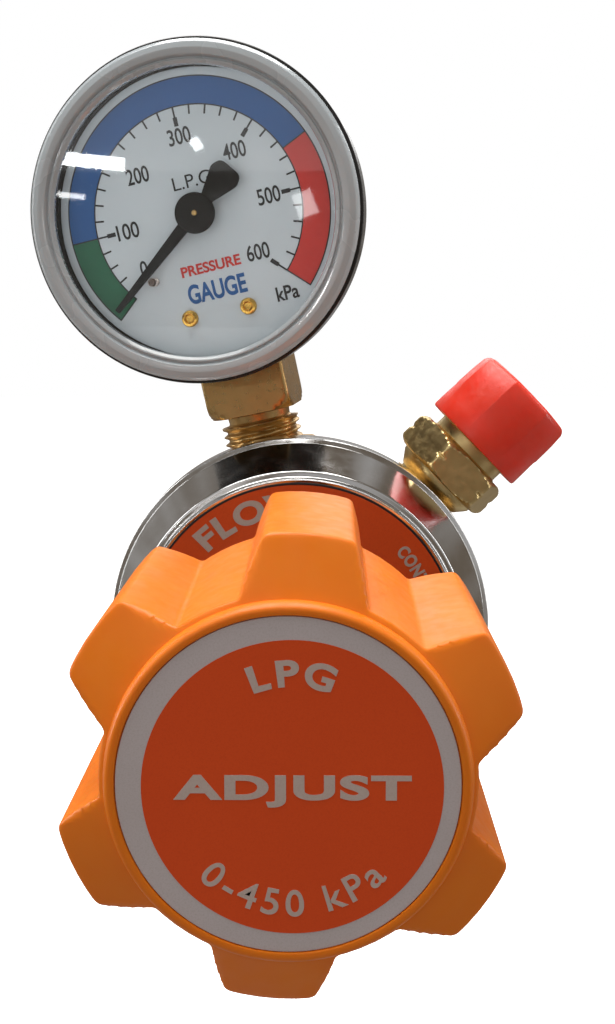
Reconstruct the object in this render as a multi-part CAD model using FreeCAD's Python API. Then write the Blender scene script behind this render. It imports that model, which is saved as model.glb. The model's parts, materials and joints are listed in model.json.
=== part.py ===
"""Single-gauge LPG pressure regulator, built as separate pieces and written as one STEP per piece.

Frame: +Y runs along the knob's axis towards the gas supply, +Z up, millimetres. The origin is on that
axis, halfway along the thread of the inlet nut. The knob faces -Y.
"""
import FreeCAD
import Part
import math
import os

V = FreeCAD.Vector
AXIS_X, AXIS_Y, AXIS_Z = V(1, 0, 0), V(0, 1, 0), V(0, 0, 1)
ORIGIN = V(0, 0, 0)

# ---- driving dimensions ---------------------------------------------------------------------------
# places along the knob's axis, in order from the knob's face to the inlet's nose
KNOB_FACE_Y = -126.5
KNOB_BACK_Y = -92.0
NECK_END_Y = -101.5
LABEL_LAND_Y = -68.9
CONE_FRONT_Y = -67.5
CONE_BACK_Y = -60.3
BODY_RIM_Y = -59.1
BONNET_BACK_Y = -54.7
PORT_Y = -47.5
BODY_BACK_Y = -31.5
BOSS_BACK_Y = -27.5
NUT_FRONT_Y = -20.5
NUT_THREAD_Y = -7.5
NUT_BACK_Y = 7.5
NOSE_END_Y = 14.5

# knob
LOBES = 6
LOBE_R = 26.8
VALLEY_R = 20.9
LOBE_HALF_TOP = 11.0
LOBE_HALF_FOOT = 19.5
TOP_LOBE_TILT = 5.0
KNOB_WALL = 2.4
KNOB_RIM_R = 20.3
BEVEL_DEPTH = 4.8
KNOB_LABEL_R = 18.6
LABEL_THICK = 0.4

# bonnet, body and diaphragm
BONNET_R = 30.5
CONE_OUTER_R = 29.7
CONE_INNER_R = 26.1
LAND_R = 25.2
RING_LABEL_R = 24.6
RING_LABEL_INNER_R = 15.6
NECK_R = 13.8
SPRING_BORE_R = 11.4
BODY_R = 27.0
BODY_THREAD_R = 26.8
CHAMBER_R = 21.0
DIAPHRAGM_THICK = 1.6
WASHER_THICK = 0.6
HIGH_BORE_R = 8.0

# adjusting screw and main spring
SCREW_R = 5.95
SCREW_HOLE_R = 6.0
BALL_R = 2.5
SPRING_MEAN_R = 8.6
SPRING_WIRE_R = 1.1

# inlet
NUT_THREAD_R = 11.2
NUT_HEX_AF = 28.0
STEM_R = 6.0
STEM_HEX_AF = 22.0
NOSE_R = 8.6

# outlet, leaning to +X from +Z
OUTLET_ANGLE = 46.0
OUTLET_THREAD_R = 6.4
OUTLET_HEX_AF = 17.0
OUTLET_HEX_TURN = 53.0
OUTLET_MALE_R = 7.9

# gauge, leaning to -X from +Z and turned about its own stem
GAUGE_LEAN = 12.0
GAUGE_TURN = 8.5
GAUGE_HEIGHT = 67.7
GAUGE_R = 26.5
GAUGE_STEM_DEPTH = 16.8
GAUGE_DEPTH = 27.0
CASE_WALL = 0.8
DIAL_R = 22.4
DIAL_DEPTH = 4.7
SOCKET_SQUARE = 14.0
SOCKET_THREAD_R = 6.6
POINTER_REST = 232.0
POINTER_TIP_R = 20.0
STOP_ANGLE = 225.2

# gauge movement
MODULE = 0.25
PINION_TEETH = 10
SECTOR_TEETH = 80
PRESSURE_ANGLE = 25.0
POINTER_TRAVEL = 273.0
TAIL_ARM = 5.0
TUBE_R = 19.0

SEAM_GAP = 0.05


# ---- shapes ---------------------------------------------------------------------------------------
def turned(points):
    """Solid of revolution about the Y axis from (y, r) points."""
    wire = Part.makePolygon([V(r, y, 0) for y, r in points + points[:1]])
    return Part.Face(wire).revolve(ORIGIN, AXIS_Y, 360)


def rod(radius, start, end):
    return Part.makeCylinder(radius, end - start, V(0, start, 0), AXIS_Y)


def tube(outer, inner, start, end):
    return rod(outer, start, end).cut(rod(inner, start - 1, end + 1))


def hexagon(across_flats, start, end, turn=0.0, chamfer=0.8):
    """Hexagonal bar along Y with both ends chamfered."""
    corner = across_flats / math.sqrt(3)
    ring = [math.radians(60 * k + turn) for k in range(7)]
    wire = Part.makePolygon([V(corner * math.cos(a), start, corner * math.sin(a)) for a in ring])
    bar = Part.Face(wire).extrude(V(0, end - start, 0))
    edge = corner - chamfer * 1.6
    return bar.common(turned([(start, 0), (start, edge), (start + chamfer, corner + 0.01),
                              (end - chamfer, corner + 0.01), (end, edge), (end, 0)]))


def box(low, high):
    return Part.makeBox(high[0] - low[0], high[1] - low[1], high[2] - low[2], V(*low))


def fused(*shapes):
    return shapes[0].multiFuse(list(shapes[1:])).removeSplitter()


def spun(shape, degrees, centre=ORIGIN, axis=AXIS_Y):
    """A copy turned about an axis. Positive about +Y is clockwise, seen from the knob's side."""
    turned_copy = shape.copy()
    turned_copy.rotate(centre, axis, degrees)
    return turned_copy


def coil(mean_radius, wire_radius, start, end, turns):
    """Compression spring along Y."""
    pitch = (end - start - 2 * wire_radius) / turns
    helix = Part.makeHelix(pitch, pitch * turns, mean_radius)
    section = Part.Wire(Part.makeCircle(wire_radius, V(mean_radius, 0, 0), V(0, mean_radius, pitch / 6.3)))
    spring = Part.Wire(helix).makePipeShell([section], True, True)
    spring.rotate(ORIGIN, AXIS_X, -90)
    spring.translate(V(0, start + wire_radius, 0))
    return spring


def on_port(shape, lean):
    """Move a shape from the Y axis, where y is the distance from the knob's axis, to a port."""
    return placed(shape, FreeCAD.Placement(V(0, PORT_Y, 0), FreeCAD.Rotation(AXIS_Y, lean))
                  * FreeCAD.Placement(ORIGIN, FreeCAD.Rotation(AXIS_X, 90)))


def on_gauge(shape):
    """Move a shape from the gauge's own frame, whose origin is the middle of its front rim."""
    stem_back = FreeCAD.Placement(V(0, -GAUGE_STEM_DEPTH, 0), FreeCAD.Rotation())
    turn = FreeCAD.Placement(V(0, 0, GAUGE_HEIGHT), FreeCAD.Rotation(AXIS_Z, -GAUGE_TURN))
    lean = FreeCAD.Placement(V(0, PORT_Y, 0), FreeCAD.Rotation(AXIS_Y, -GAUGE_LEAN))
    return placed(shape, lean * turn * stem_back)


def placed(shape, placement):
    moved = shape.copy()
    moved.Placement = placement * moved.Placement
    return moved


# ---- knob and adjusting screw ---------------------------------------------------------------------
def knob_outline(valley_r, lobe_r, half_top, half_foot, start, end):
    """Six-lobed bar: arcs along the lobes and the valleys, joined by straight flanks."""
    edges = []

    def point(radius, degrees):
        angle = math.radians(degrees)
        return V(radius * math.sin(angle), start, radius * math.cos(angle))

    step = 360.0 / LOBES
    for k in range(LOBES):
        middle = TOP_LOBE_TILT + k * step
        foot_in, top_in = point(valley_r, middle - half_foot), point(lobe_r, middle - half_top)
        top_out, foot_out = point(lobe_r, middle + half_top), point(valley_r, middle + half_foot)
        edges.append(Part.LineSegment(foot_in, top_in).toShape())
        edges.append(Part.Arc(top_in, point(lobe_r, middle), top_out).toShape())
        edges.append(Part.LineSegment(top_out, foot_out).toShape())
        next_foot = point(valley_r, middle + step - half_foot)
        edges.append(Part.Arc(foot_out, point(valley_r, middle + step / 2), next_foot).toShape())
    return Part.Face(Part.Wire(edges)).extrude(V(0, end - start, 0))


WEB_BACK_Y = KNOB_FACE_Y + 4.5
KNOB_BOSS_BACK_Y = NECK_END_Y - 12.5
INSERT_FRONT_Y = KNOB_FACE_Y + 2.6
LABEL_SEAT_Y = KNOB_FACE_Y + 0.6


def knob():
    star = knob_outline(VALLEY_R, LOBE_R, LOBE_HALF_TOP, LOBE_HALF_FOOT, KNOB_FACE_Y, KNOB_BACK_Y)
    bevel = turned([(KNOB_FACE_Y, 0), (KNOB_FACE_Y, KNOB_RIM_R), (KNOB_FACE_Y + BEVEL_DEPTH, LOBE_R + 0.2),
                    (KNOB_BACK_Y, LOBE_R + 0.2), (KNOB_BACK_Y, 0)])
    hollow = knob_outline(VALLEY_R - KNOB_WALL, LOBE_R - KNOB_WALL, LOBE_HALF_TOP - 5.5, LOBE_HALF_FOOT - 6.5,
                          WEB_BACK_Y, KNOB_BACK_Y + 1)
    hollow = hollow.common(turned([(WEB_BACK_Y, 0), (WEB_BACK_Y, KNOB_RIM_R - 2.5),
                                   (WEB_BACK_Y + BEVEL_DEPTH, LOBE_R), (KNOB_BACK_Y + 1, LOBE_R),
                                   (KNOB_BACK_Y + 1, 0)]))
    shell = star.common(bevel).cut(hollow).cut(rod(KNOB_LABEL_R, KNOB_FACE_Y - 1, LABEL_SEAT_Y))
    rib_end = WEB_BACK_Y + 6.0
    ribs = [spun(box((-0.8, WEB_BACK_Y - 0.5, 8.0), (0.8, rib_end, VALLEY_R - 1.5)),
                 TOP_LOBE_TILT + 30 + 60 * k) for k in range(LOBES)]
    solid = fused(shell, rod(10.5, WEB_BACK_Y - 0.5, KNOB_BOSS_BACK_Y), *ribs)
    solid = solid.cut(hexagon(16.0, INSERT_FRONT_Y, KNOB_BOSS_BACK_Y, chamfer=0.01))
    solid = solid.cut(hexagon(16.0, INSERT_FRONT_Y + 1, KNOB_BOSS_BACK_Y + 1, chamfer=0.01))
    return solid.cut(rod(4.0, LABEL_SEAT_Y - 0.1, INSERT_FRONT_Y + 0.1))


def knob_label():
    return rod(KNOB_LABEL_R - SEAM_GAP, LABEL_SEAT_Y - LABEL_THICK, LABEL_SEAT_Y)


def knob_insert():
    """Brass hexagon moulded into the knob's boss; the screw is pressed into it."""
    return hexagon(16.0, INSERT_FRONT_Y, KNOB_BOSS_BACK_Y, chamfer=0.01).cut(
        rod(SCREW_R, INSERT_FRONT_Y - 1, KNOB_BOSS_BACK_Y + 1))


BALL_Y = NECK_END_Y + 7.4
SCREW_TIP_Y = BALL_Y - 1.0


def adjusting_screw():
    solid = turned([(INSERT_FRONT_Y, 0), (INSERT_FRONT_Y, SCREW_R), (SCREW_TIP_Y - 1.2, SCREW_R),
                    (SCREW_TIP_Y, SCREW_R - 1.2), (SCREW_TIP_Y, 0)])
    solid = solid.cut(Part.makeSphere(BALL_R + 0.06, V(0, BALL_Y, 0)))
    return solid.cut(rod(2.0, INSERT_FRONT_Y - 1, INSERT_FRONT_Y + 11))


def knob_screw():
    """Pan-head screw under the label that locks the knob to the adjusting screw."""
    head = turned([(LABEL_SEAT_Y + 0.2, 0), (LABEL_SEAT_Y + 0.2, 3.0), (LABEL_SEAT_Y + 0.8, 3.6),
                   (INSERT_FRONT_Y, 3.6), (INSERT_FRONT_Y, 0)])
    slot = box((-3.0, LABEL_SEAT_Y, -0.5), (3.0, LABEL_SEAT_Y + 0.9, 0.5))
    return fused(head, rod(2.0, INSERT_FRONT_Y - 0.1, INSERT_FRONT_Y + 10)).cut(slot)


# ---- bonnet, main spring and diaphragm ------------------------------------------------------------
NECK_WALL_Y = NECK_END_Y + 4.5
WASHER_FRONT_Y = BODY_RIM_Y - DIAPHRAGM_THICK - WASHER_THICK
PLATE_FRONT_Y = BODY_RIM_Y - DIAPHRAGM_THICK - 2.2


def bonnet():
    outside = turned([
        (BONNET_BACK_Y, 0), (BONNET_BACK_Y, BONNET_R - 0.4), (BONNET_BACK_Y - 0.4, BONNET_R),
        (CONE_BACK_Y + 0.5, BONNET_R), (CONE_BACK_Y, CONE_OUTER_R), (CONE_FRONT_Y, CONE_INNER_R),
        (CONE_FRONT_Y, LAND_R), (LABEL_LAND_Y, LAND_R - 0.2), (LABEL_LAND_Y, NECK_R + 1.2),
        (LABEL_LAND_Y - 2.5, NECK_R), (NECK_END_Y + 1.0, NECK_R), (NECK_END_Y, NECK_R - 1.0),
        (NECK_END_Y, 0)])
    inside = turned([
        (BONNET_BACK_Y + 1, 0), (BONNET_BACK_Y + 1, BODY_THREAD_R), (WASHER_FRONT_Y, BODY_THREAD_R),
        (WASHER_FRONT_Y, CHAMBER_R), (PLATE_FRONT_Y - 2.0, CHAMBER_R - 1.5),
        (PLATE_FRONT_Y - 4.0, SPRING_BORE_R + 0.6), (PLATE_FRONT_Y - 5.0, SPRING_BORE_R),
        (NECK_WALL_Y, SPRING_BORE_R), (NECK_WALL_Y, 0)])
    vent = Part.makeCylinder(1.2, 8, V(0, NECK_WALL_Y + 12, -NECK_R - 3), AXIS_Z)
    return outside.cut(inside).cut(rod(SCREW_HOLE_R, NECK_END_Y - 1, NECK_WALL_Y + 1)).cut(vent)


def bonnet_label():
    return tube(RING_LABEL_R, RING_LABEL_INNER_R, LABEL_LAND_Y - 0.25, LABEL_LAND_Y)


BUTTON_FRONT_Y = BALL_Y + 1.0
BUTTON_BACK_Y = BUTTON_FRONT_Y + 3.2


def spring_button():
    solid = turned([(BUTTON_FRONT_Y, 0), (BUTTON_FRONT_Y, SPRING_BORE_R - 1.0),
                    (BUTTON_FRONT_Y + 0.9, SPRING_BORE_R - 0.06), (BUTTON_BACK_Y, SPRING_BORE_R - 0.06),
                    (BUTTON_BACK_Y, SPRING_MEAN_R - SPRING_WIRE_R - 0.3),
                    (BUTTON_BACK_Y + 3.0, SPRING_MEAN_R - SPRING_WIRE_R - 0.8), (BUTTON_BACK_Y + 3.0, 0)])
    return solid.cut(Part.makeSphere(BALL_R + 0.02, V(0, BALL_Y, 0)))


def thrust_ball():
    return Part.makeSphere(BALL_R, V(0, BALL_Y, 0))


def main_spring():
    return coil(SPRING_MEAN_R, SPRING_WIRE_R, BUTTON_BACK_Y + 0.1, PLATE_FRONT_Y - 0.1, 6.5)


def diaphragm_plate():
    """Pressed plate that carries the spring, with the stud that holds the pad through the diaphragm."""
    front, back = PLATE_FRONT_Y, BODY_RIM_Y - DIAPHRAGM_THICK - SEAM_GAP
    dish = turned([(front - 1.2, 0), (front - 1.2, 5.6), (front, 6.4), (front, 16.2), (front + 0.8, 17.0),
                   (back, 17.0), (back, 0)])
    return fused(dish, rod(2.4, back - 0.1, BODY_RIM_Y + 0.9))


def diaphragm():
    front = BODY_RIM_Y - DIAPHRAGM_THICK
    flat = tube(BODY_THREAD_R - 0.2, 2.5, front, BODY_RIM_Y)
    groove = tube(20.2, 17.6, front - 1, front + 0.5)
    return flat.cut(groove)


def slip_washer():
    front = WASHER_FRONT_Y
    return tube(BODY_THREAD_R - 0.3, CHAMBER_R + 0.2, front, front + WASHER_THICK)


def diaphragm_pad():
    front = BODY_RIM_Y + SEAM_GAP
    return turned([(front, 2.4), (front, 8.0), (front + 0.8, 8.0), (front + 1.2, 7.4), (front + 1.2, 0),
                   (BODY_RIM_Y + 0.9, 0), (BODY_RIM_Y + 0.9, 2.4)])


# ---- body and valve -------------------------------------------------------------------------------
CHAMBER_FLOOR_Y = BODY_RIM_Y + 2.6
NOZZLE_BACK_Y = CHAMBER_FLOOR_Y + 11.0
STEM_FRONT_Y = BODY_BACK_Y - 1.5
PORT_BOSS_R = 9.0
PORT_BOSS_TOP = 28.6
PORT_FLOOR = 15.5


def body():
    outside = turned([
        (BODY_RIM_Y, 0), (BODY_RIM_Y, BODY_THREAD_R), (BONNET_BACK_Y, BODY_THREAD_R),
        (BONNET_BACK_Y + 0.2, BODY_R), (BODY_BACK_Y - 3.0, BODY_R), (BODY_BACK_Y, BODY_R - 3.0),
        (BODY_BACK_Y, 15.5), (BODY_BACK_Y + 1.0, 14.5), (BOSS_BACK_Y - 0.8, 14.5), (BOSS_BACK_Y, 13.7),
        (BOSS_BACK_Y, 0)])
    boss = turned([(12, 0), (12, PORT_BOSS_R), (PORT_BOSS_TOP - 0.6, PORT_BOSS_R),
                   (PORT_BOSS_TOP, PORT_BOSS_R - 0.6), (PORT_BOSS_TOP, 0)])
    solid = fused(outside, on_port(boss, -GAUGE_LEAN), on_port(boss, OUTLET_ANGLE))
    # the bosses stop at the bonnet's back edge
    solid = solid.cut(tube(BONNET_R + 2, BODY_THREAD_R, BODY_RIM_Y - 1, BONNET_BACK_Y + 0.3))
    solid = solid.cut(turned([
        (BODY_RIM_Y - 1, 0), (BODY_RIM_Y - 1, CHAMBER_R), (CHAMBER_FLOOR_Y - 1.0, CHAMBER_R),
        (CHAMBER_FLOOR_Y, CHAMBER_R - 1.0), (CHAMBER_FLOOR_Y, 0)]))
    solid = solid.cut(rod(6.0, CHAMBER_FLOOR_Y - 1, NOZZLE_BACK_Y + 1))
    solid = solid.cut(rod(HIGH_BORE_R, NOZZLE_BACK_Y, STEM_FRONT_Y + 1))
    solid = solid.cut(rod(9.5, STEM_FRONT_Y, BOSS_BACK_Y + 1))
    solid = solid.cut(rod(10.95, BOSS_BACK_Y - 1.45, BOSS_BACK_Y + 1))
    for lean, radius in ((-GAUGE_LEAN, SOCKET_THREAD_R), (OUTLET_ANGLE, OUTLET_THREAD_R)):
        solid = solid.cut(on_port(rod(radius, PORT_FLOOR, PORT_BOSS_TOP + 4), lean))
        passage = Part.makeCylinder(1.8, PORT_Y - CHAMBER_FLOOR_Y + 1, V(0, CHAMBER_FLOOR_Y - 1, 17.0), AXIS_Y)
        solid = solid.cut(spun(passage, lean))
    return solid


def nozzle():
    """Seat nozzle, screwed in from the high-pressure side, with a raised annular lip."""
    seat = NOZZLE_BACK_Y + 2.6
    return turned([(CHAMBER_FLOOR_Y + 1.0, 1.5), (CHAMBER_FLOOR_Y + 1.0, 6.0), (NOZZLE_BACK_Y, 6.0),
                   (NOZZLE_BACK_Y, HIGH_BORE_R - 0.1), (NOZZLE_BACK_Y + 1.8, HIGH_BORE_R - 0.1),
                   (NOZZLE_BACK_Y + 1.8, 3.4), (seat, 2.6), (seat, 2.0), (seat - 0.6, 1.5)])


SEAT_Y = NOZZLE_BACK_Y + 2.6 + 0.02


def valve_seat():
    return tube(3.8, 1.0, SEAT_Y, SEAT_Y + 2.0)


def valve_poppet():
    """Brass carrier for the seat, with the push pin that reaches the diaphragm's pad."""
    carrier = turned([(SEAT_Y + 0.5, 3.8), (SEAT_Y + 0.5, 5.0), (SEAT_Y + 5.0, 5.0), (SEAT_Y + 5.0, 2.4),
                      (SEAT_Y + 8.0, 2.2), (SEAT_Y + 8.0, 0), (SEAT_Y + 2.0, 0), (SEAT_Y + 2.0, 3.8)])
    return fused(carrier, rod(1.0, BODY_RIM_Y + SEAM_GAP + 1.3, SEAT_Y + 2.1))


def poppet_spring():
    return coil(3.9, 0.4, SEAT_Y + 5.05, STEM_FRONT_Y - SEAM_GAP, 4.0)


# ---- inlet ----------------------------------------------------------------------------------------
STEM_HEX_BACK_Y = BOSS_BACK_Y + 4.6
SHOULDER_Y = NUT_BACK_Y - 7.5


def inlet_stem():
    hex_part = hexagon(STEM_HEX_AF, BOSS_BACK_Y + SEAM_GAP, STEM_HEX_BACK_Y)
    turned_part = turned([
        (STEM_FRONT_Y, 0), (STEM_FRONT_Y, 9.0), (STEM_FRONT_Y + 0.5, 9.5), (BOSS_BACK_Y + 0.2, 9.5),
        (STEM_HEX_BACK_Y - 0.1, 9.5), (STEM_HEX_BACK_Y - 0.1, STEM_R), (SHOULDER_Y, STEM_R),
        (SHOULDER_Y + 0.6, NOSE_R), (NUT_BACK_Y + 1.0, NOSE_R), (NUT_BACK_Y + 2.6, NOSE_R - 0.5),
        (NUT_BACK_Y + 4.6, NOSE_R - 1.9), (NUT_BACK_Y + 6.0, NOSE_R - 3.7), (NOSE_END_Y, 3.4), (NOSE_END_Y, 0)])
    groove = tube(NOSE_R + 1, NOSE_R - 1.1, NUT_BACK_Y - 2.2, NUT_BACK_Y - 0.4)
    solid = fused(hex_part, turned_part).cut(rod(2.2, STEM_FRONT_Y - 1, NOSE_END_Y + 1))
    solid = solid.cut(rod(5.5, STEM_FRONT_Y - 1, STEM_FRONT_Y + 9)).cut(groove)
    return solid.cut(tube(STEM_R + 1, STEM_R - 0.6, NUT_FRONT_Y - 1.6, NUT_FRONT_Y - 0.6))


def spring_retainer():
    """Perforated disc in the stem's mouth that the poppet spring pushes on."""
    disc = rod(5.45, STEM_FRONT_Y, STEM_FRONT_Y + 1.4)
    for k in range(6):
        disc = disc.cut(spun(Part.makeCylinder(0.8, 4, V(0, STEM_FRONT_Y - 1, 2.9), AXIS_Y), 60 * k))
    return disc


def inlet_filter():
    start = STEM_FRONT_Y + 1.4
    return tube(5.0, 2.6, start, start + 7.0)


def stem_o_ring():
    ring = Part.makeTorus(10.2, 0.7, V(0, BOSS_BACK_Y - 0.7, 0), AXIS_Y)
    return ring.common(tube(14, 9.52, BOSS_BACK_Y - 2, BOSS_BACK_Y))


def nose_o_ring():
    return Part.makeTorus(NOSE_R - 0.35, 0.75, V(0, NUT_BACK_Y - 1.3, 0), AXIS_Y)


def nut_retaining_ring():
    """Spring clip in the stem's groove, open for a sixth of a turn."""
    ring = tube(STEM_R + 1.4, STEM_R - 0.6, NUT_FRONT_Y - 1.5, NUT_FRONT_Y - 0.7)
    return ring.cut(box((-2.0, NUT_FRONT_Y - 2, -STEM_R - 3), (2.0, NUT_FRONT_Y, 0)))


def inlet_nut():
    thread = turned([(NUT_THREAD_Y - 0.1, 0), (NUT_THREAD_Y - 0.1, NUT_THREAD_R), (NUT_BACK_Y, NUT_THREAD_R),
                     (NUT_BACK_Y, 0)])
    solid = fused(hexagon(NUT_HEX_AF, NUT_FRONT_Y, NUT_THREAD_Y, chamfer=1.2), thread)
    counterbore = turned([(SHOULDER_Y - 2.4, 0), (SHOULDER_Y - 2.4, STEM_R + 0.06),
                          (SHOULDER_Y - 0.8, NOSE_R + 0.4), (NUT_BACK_Y + 1, NOSE_R + 0.4),
                          (NUT_BACK_Y + 1, 0)])
    return solid.cut(rod(STEM_R + 0.06, NUT_FRONT_Y - 1, NUT_BACK_Y)).cut(counterbore)


# ---- outlet, made along Y from the knob's axis and then leaned over --------------------------------
OUTLET_HEX_START = 32.4
OUTLET_HEX_END = 38.5
OUTLET_END = 51.1
CAP_START = 40.5
CAP_END = 52.9


def outlet_connector():
    shank = turned([
        (PORT_FLOOR + 1.0, 0), (PORT_FLOOR + 1.0, OUTLET_THREAD_R - 0.6),
        (PORT_FLOOR + 1.6, OUTLET_THREAD_R), (OUTLET_HEX_START - 2.4, OUTLET_THREAD_R),
        (OUTLET_HEX_START, OUTLET_THREAD_R + 0.9), (OUTLET_HEX_END - 0.1, OUTLET_THREAD_R + 0.9),
        (OUTLET_HEX_END - 0.1, 6.9), (CAP_START + 0.2, 6.9), (CAP_START + 1.2, OUTLET_MALE_R),
        (OUTLET_END - 0.8, OUTLET_MALE_R), (OUTLET_END, OUTLET_MALE_R - 0.8), (OUTLET_END, 0)])
    solid = fused(shank, hexagon(OUTLET_HEX_AF, OUTLET_HEX_START, OUTLET_HEX_END, OUTLET_HEX_TURN, 1.0))
    seat = turned([(OUTLET_END - 3.2, 0), (OUTLET_END - 3.2, 3.2), (OUTLET_END + 0.1, 5.2),
                   (OUTLET_END + 0.1, 0)])
    return on_port(solid.cut(rod(3.2, PORT_FLOOR, OUTLET_END)).cut(seat), OUTLET_ANGLE)


def outlet_cap():
    outside = turned([(CAP_START, 0), (CAP_START, 9.5), (CAP_START + 0.4, 9.7), (CAP_END - 3.0, 9.5),
                      (CAP_END - 0.8, 9.2), (CAP_END, 8.3), (CAP_END, 0)])
    return on_port(outside.cut(rod(OUTLET_MALE_R + 0.35, CAP_START - 1, CAP_END - 1.3)), OUTLET_ANGLE)


# ---- gauge, in its own frame: y is the depth behind the front rim, z up, x right -------------------
CASE_INNER_R = GAUGE_R - CASE_WALL
BLOCK_FRONT, BLOCK_TOP = 12.8, -9.0
STEM_SQUARE_END = -33.1
SOCKET_END = -(GAUGE_HEIGHT - PORT_FLOOR - 1.2)


def case_outside(grow=0.0):
    """The case's outer shape: a wide bead at its mouth, then a drawn cup that narrows towards the back."""
    profile = [(1.6, GAUGE_R), (5.6, GAUGE_R), (6.4, GAUGE_R - 1.3), (23.0, GAUGE_R - 2.8), (25.6, GAUGE_R - 3.9),
               (GAUGE_DEPTH, GAUGE_R - 7.0)]
    return turned([(1.6, 0)] + [(y, r + grow) for y, r in profile] + [(GAUGE_DEPTH, 0)])


def case_inside(shrink=0.0):
    """The room inside the case, which the lens closes."""
    back = GAUGE_DEPTH - CASE_WALL
    profile = [(0, CASE_INNER_R), (5.5, CASE_INNER_R), (5.5, CASE_INNER_R - 1.3), (22.6, CASE_INNER_R - 2.75),
               (25.0, CASE_INNER_R - 3.8), (back, CASE_INNER_R - 6.9)]
    return turned([(0, 0)] + [(y, r - shrink) for y, r in profile] + [(back, 0)])


def gauge_socket():
    """Square shank and male thread outside the case, and the block inside it that carries the tube."""
    half = SOCKET_SQUARE / 2
    shank = box((-half, GAUGE_STEM_DEPTH - half, STEM_SQUARE_END), (half, GAUGE_STEM_DEPTH + half, -20))
    shank = shank.cut(case_outside(0.02))
    passing = box((-5.4, BLOCK_FRONT, STEM_SQUARE_END + 2), (5.4, GAUGE_STEM_DEPTH + 5.4, BLOCK_TOP))
    back_pad = box((-5.4, BLOCK_FRONT, -21), (5.4, GAUGE_DEPTH - CASE_WALL, BLOCK_TOP - 2))
    back_pad = back_pad.common(case_inside(SEAM_GAP))
    thread = turned([(-SOCKET_END, 0), (-SOCKET_END, SOCKET_THREAD_R - 0.5), (-SOCKET_END - 0.6, SOCKET_THREAD_R),
                     (-STEM_SQUARE_END + 1.6, SOCKET_THREAD_R), (-STEM_SQUARE_END + 0.8, 5.2),
                     (-STEM_SQUARE_END - 0.2, 5.2), (-STEM_SQUARE_END - 0.2, 0)])
    thread.rotate(ORIGIN, AXIS_X, -90)
    thread.translate(V(0, GAUGE_STEM_DEPTH, 0))
    solid = fused(shank, passing, back_pad, thread)
    bore = Part.makeCylinder(1.6, 40, V(0, GAUGE_STEM_DEPTH, SOCKET_END - 1), AXIS_Z)
    cross = Part.makeCylinder(0.9, 8, V(-8, GAUGE_STEM_DEPTH, -18.2), AXIS_X)
    solid = solid.cut(bore.common(box((-3, 0, SOCKET_END - 1), (3, 30, -17.5)))).cut(cross)
    for x in (-3.4, 3.4):
        solid = solid.cut(rod(0.9, GAUGE_DEPTH - 6, GAUGE_DEPTH).translated(V(x, 0, -16.5)))
    return on_gauge(solid)


def throttle_screw():
    """Restrictor with a pinhole, screwed into the mouth of the gauge's thread."""
    screw = Part.makeCylinder(1.6, 4, V(0, GAUGE_STEM_DEPTH, SOCKET_END + 0.5), AXIS_Z)
    return on_gauge(screw.cut(Part.makeCylinder(0.3, 6, V(0, GAUGE_STEM_DEPTH, SOCKET_END), AXIS_Z)))


def gauge_case():
    solid = case_outside().cut(case_inside())
    solid = solid.cut(box((-5.45, BLOCK_FRONT - SEAM_GAP, -30), (5.45, GAUGE_STEM_DEPTH + 5.45, -20)))
    solid = solid.cut(rod(3.0, GAUGE_DEPTH - 2, GAUGE_DEPTH + 2).translated(V(0, 0, 13)))
    for x in (-3.4, 3.4):
        solid = solid.cut(rod(1.0, GAUGE_DEPTH - 3, GAUGE_DEPTH + 2).translated(V(x, 0, -16.5)))
    return on_gauge(solid)


def case_screws():
    one = fused(rod(0.9, GAUGE_DEPTH - 5.5, GAUGE_DEPTH), turned([
        (GAUGE_DEPTH, 0), (GAUGE_DEPTH, 1.9), (GAUGE_DEPTH + 0.7, 1.9), (GAUGE_DEPTH + 1.1, 1.3),
        (GAUGE_DEPTH + 1.1, 0)]))
    one = one.cut(box((-2, GAUGE_DEPTH + 0.5, -0.25), (2, GAUGE_DEPTH + 2, 0.25)))
    return on_gauge(Part.makeCompound([one.translated(V(x, 0, -16.5)) for x in (-3.4, 3.4)]))


def blow_out_plug():
    plug = turned([(GAUGE_DEPTH - 1.4, 0), (GAUGE_DEPTH - 1.4, 3.3), (GAUGE_DEPTH - CASE_WALL, 3.3),
                   (GAUGE_DEPTH - CASE_WALL, 3.0), (GAUGE_DEPTH, 3.0), (GAUGE_DEPTH, 4.2),
                   (GAUGE_DEPTH + 0.5, 4.2), (GAUGE_DEPTH + 0.9, 3.6), (GAUGE_DEPTH + 0.9, 0)])
    return on_gauge(plug.translated(V(0, 0, 13)))


def gauge_lens():
    """Clear window with a stepped flange that closes the case's mouth."""
    flange = [(0.9, 21.6), (0.0, 22.4), (0.0, 25.4), (0.5, 26.0), (1.55, 26.0), (1.55, 25.6), (4.6, 25.6),
              (4.6, 24.3), (2.2, 24.3), (2.2, 21.6), (2.2, 0), (0.9, 0)]
    return on_gauge(turned(flange))


def lens_gasket():
    return on_gauge(tube(CASE_INNER_R - 0.05, 22.8, 4.65, 5.45))


def dial():
    disc = rod(DIAL_R, DIAL_DEPTH, DIAL_DEPTH + 0.4).cut(rod(1.3, 0, 10))
    for angle in (163.0, 197.0):
        disc = disc.cut(rod(0.75, 0, 10).translated(polar(16.5, angle)))
    return on_gauge(disc)


def polar(radius, clockwise_from_top):
    angle = math.radians(clockwise_from_top)
    return V(radius * math.sin(angle), 0, radius * math.cos(angle))


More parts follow.
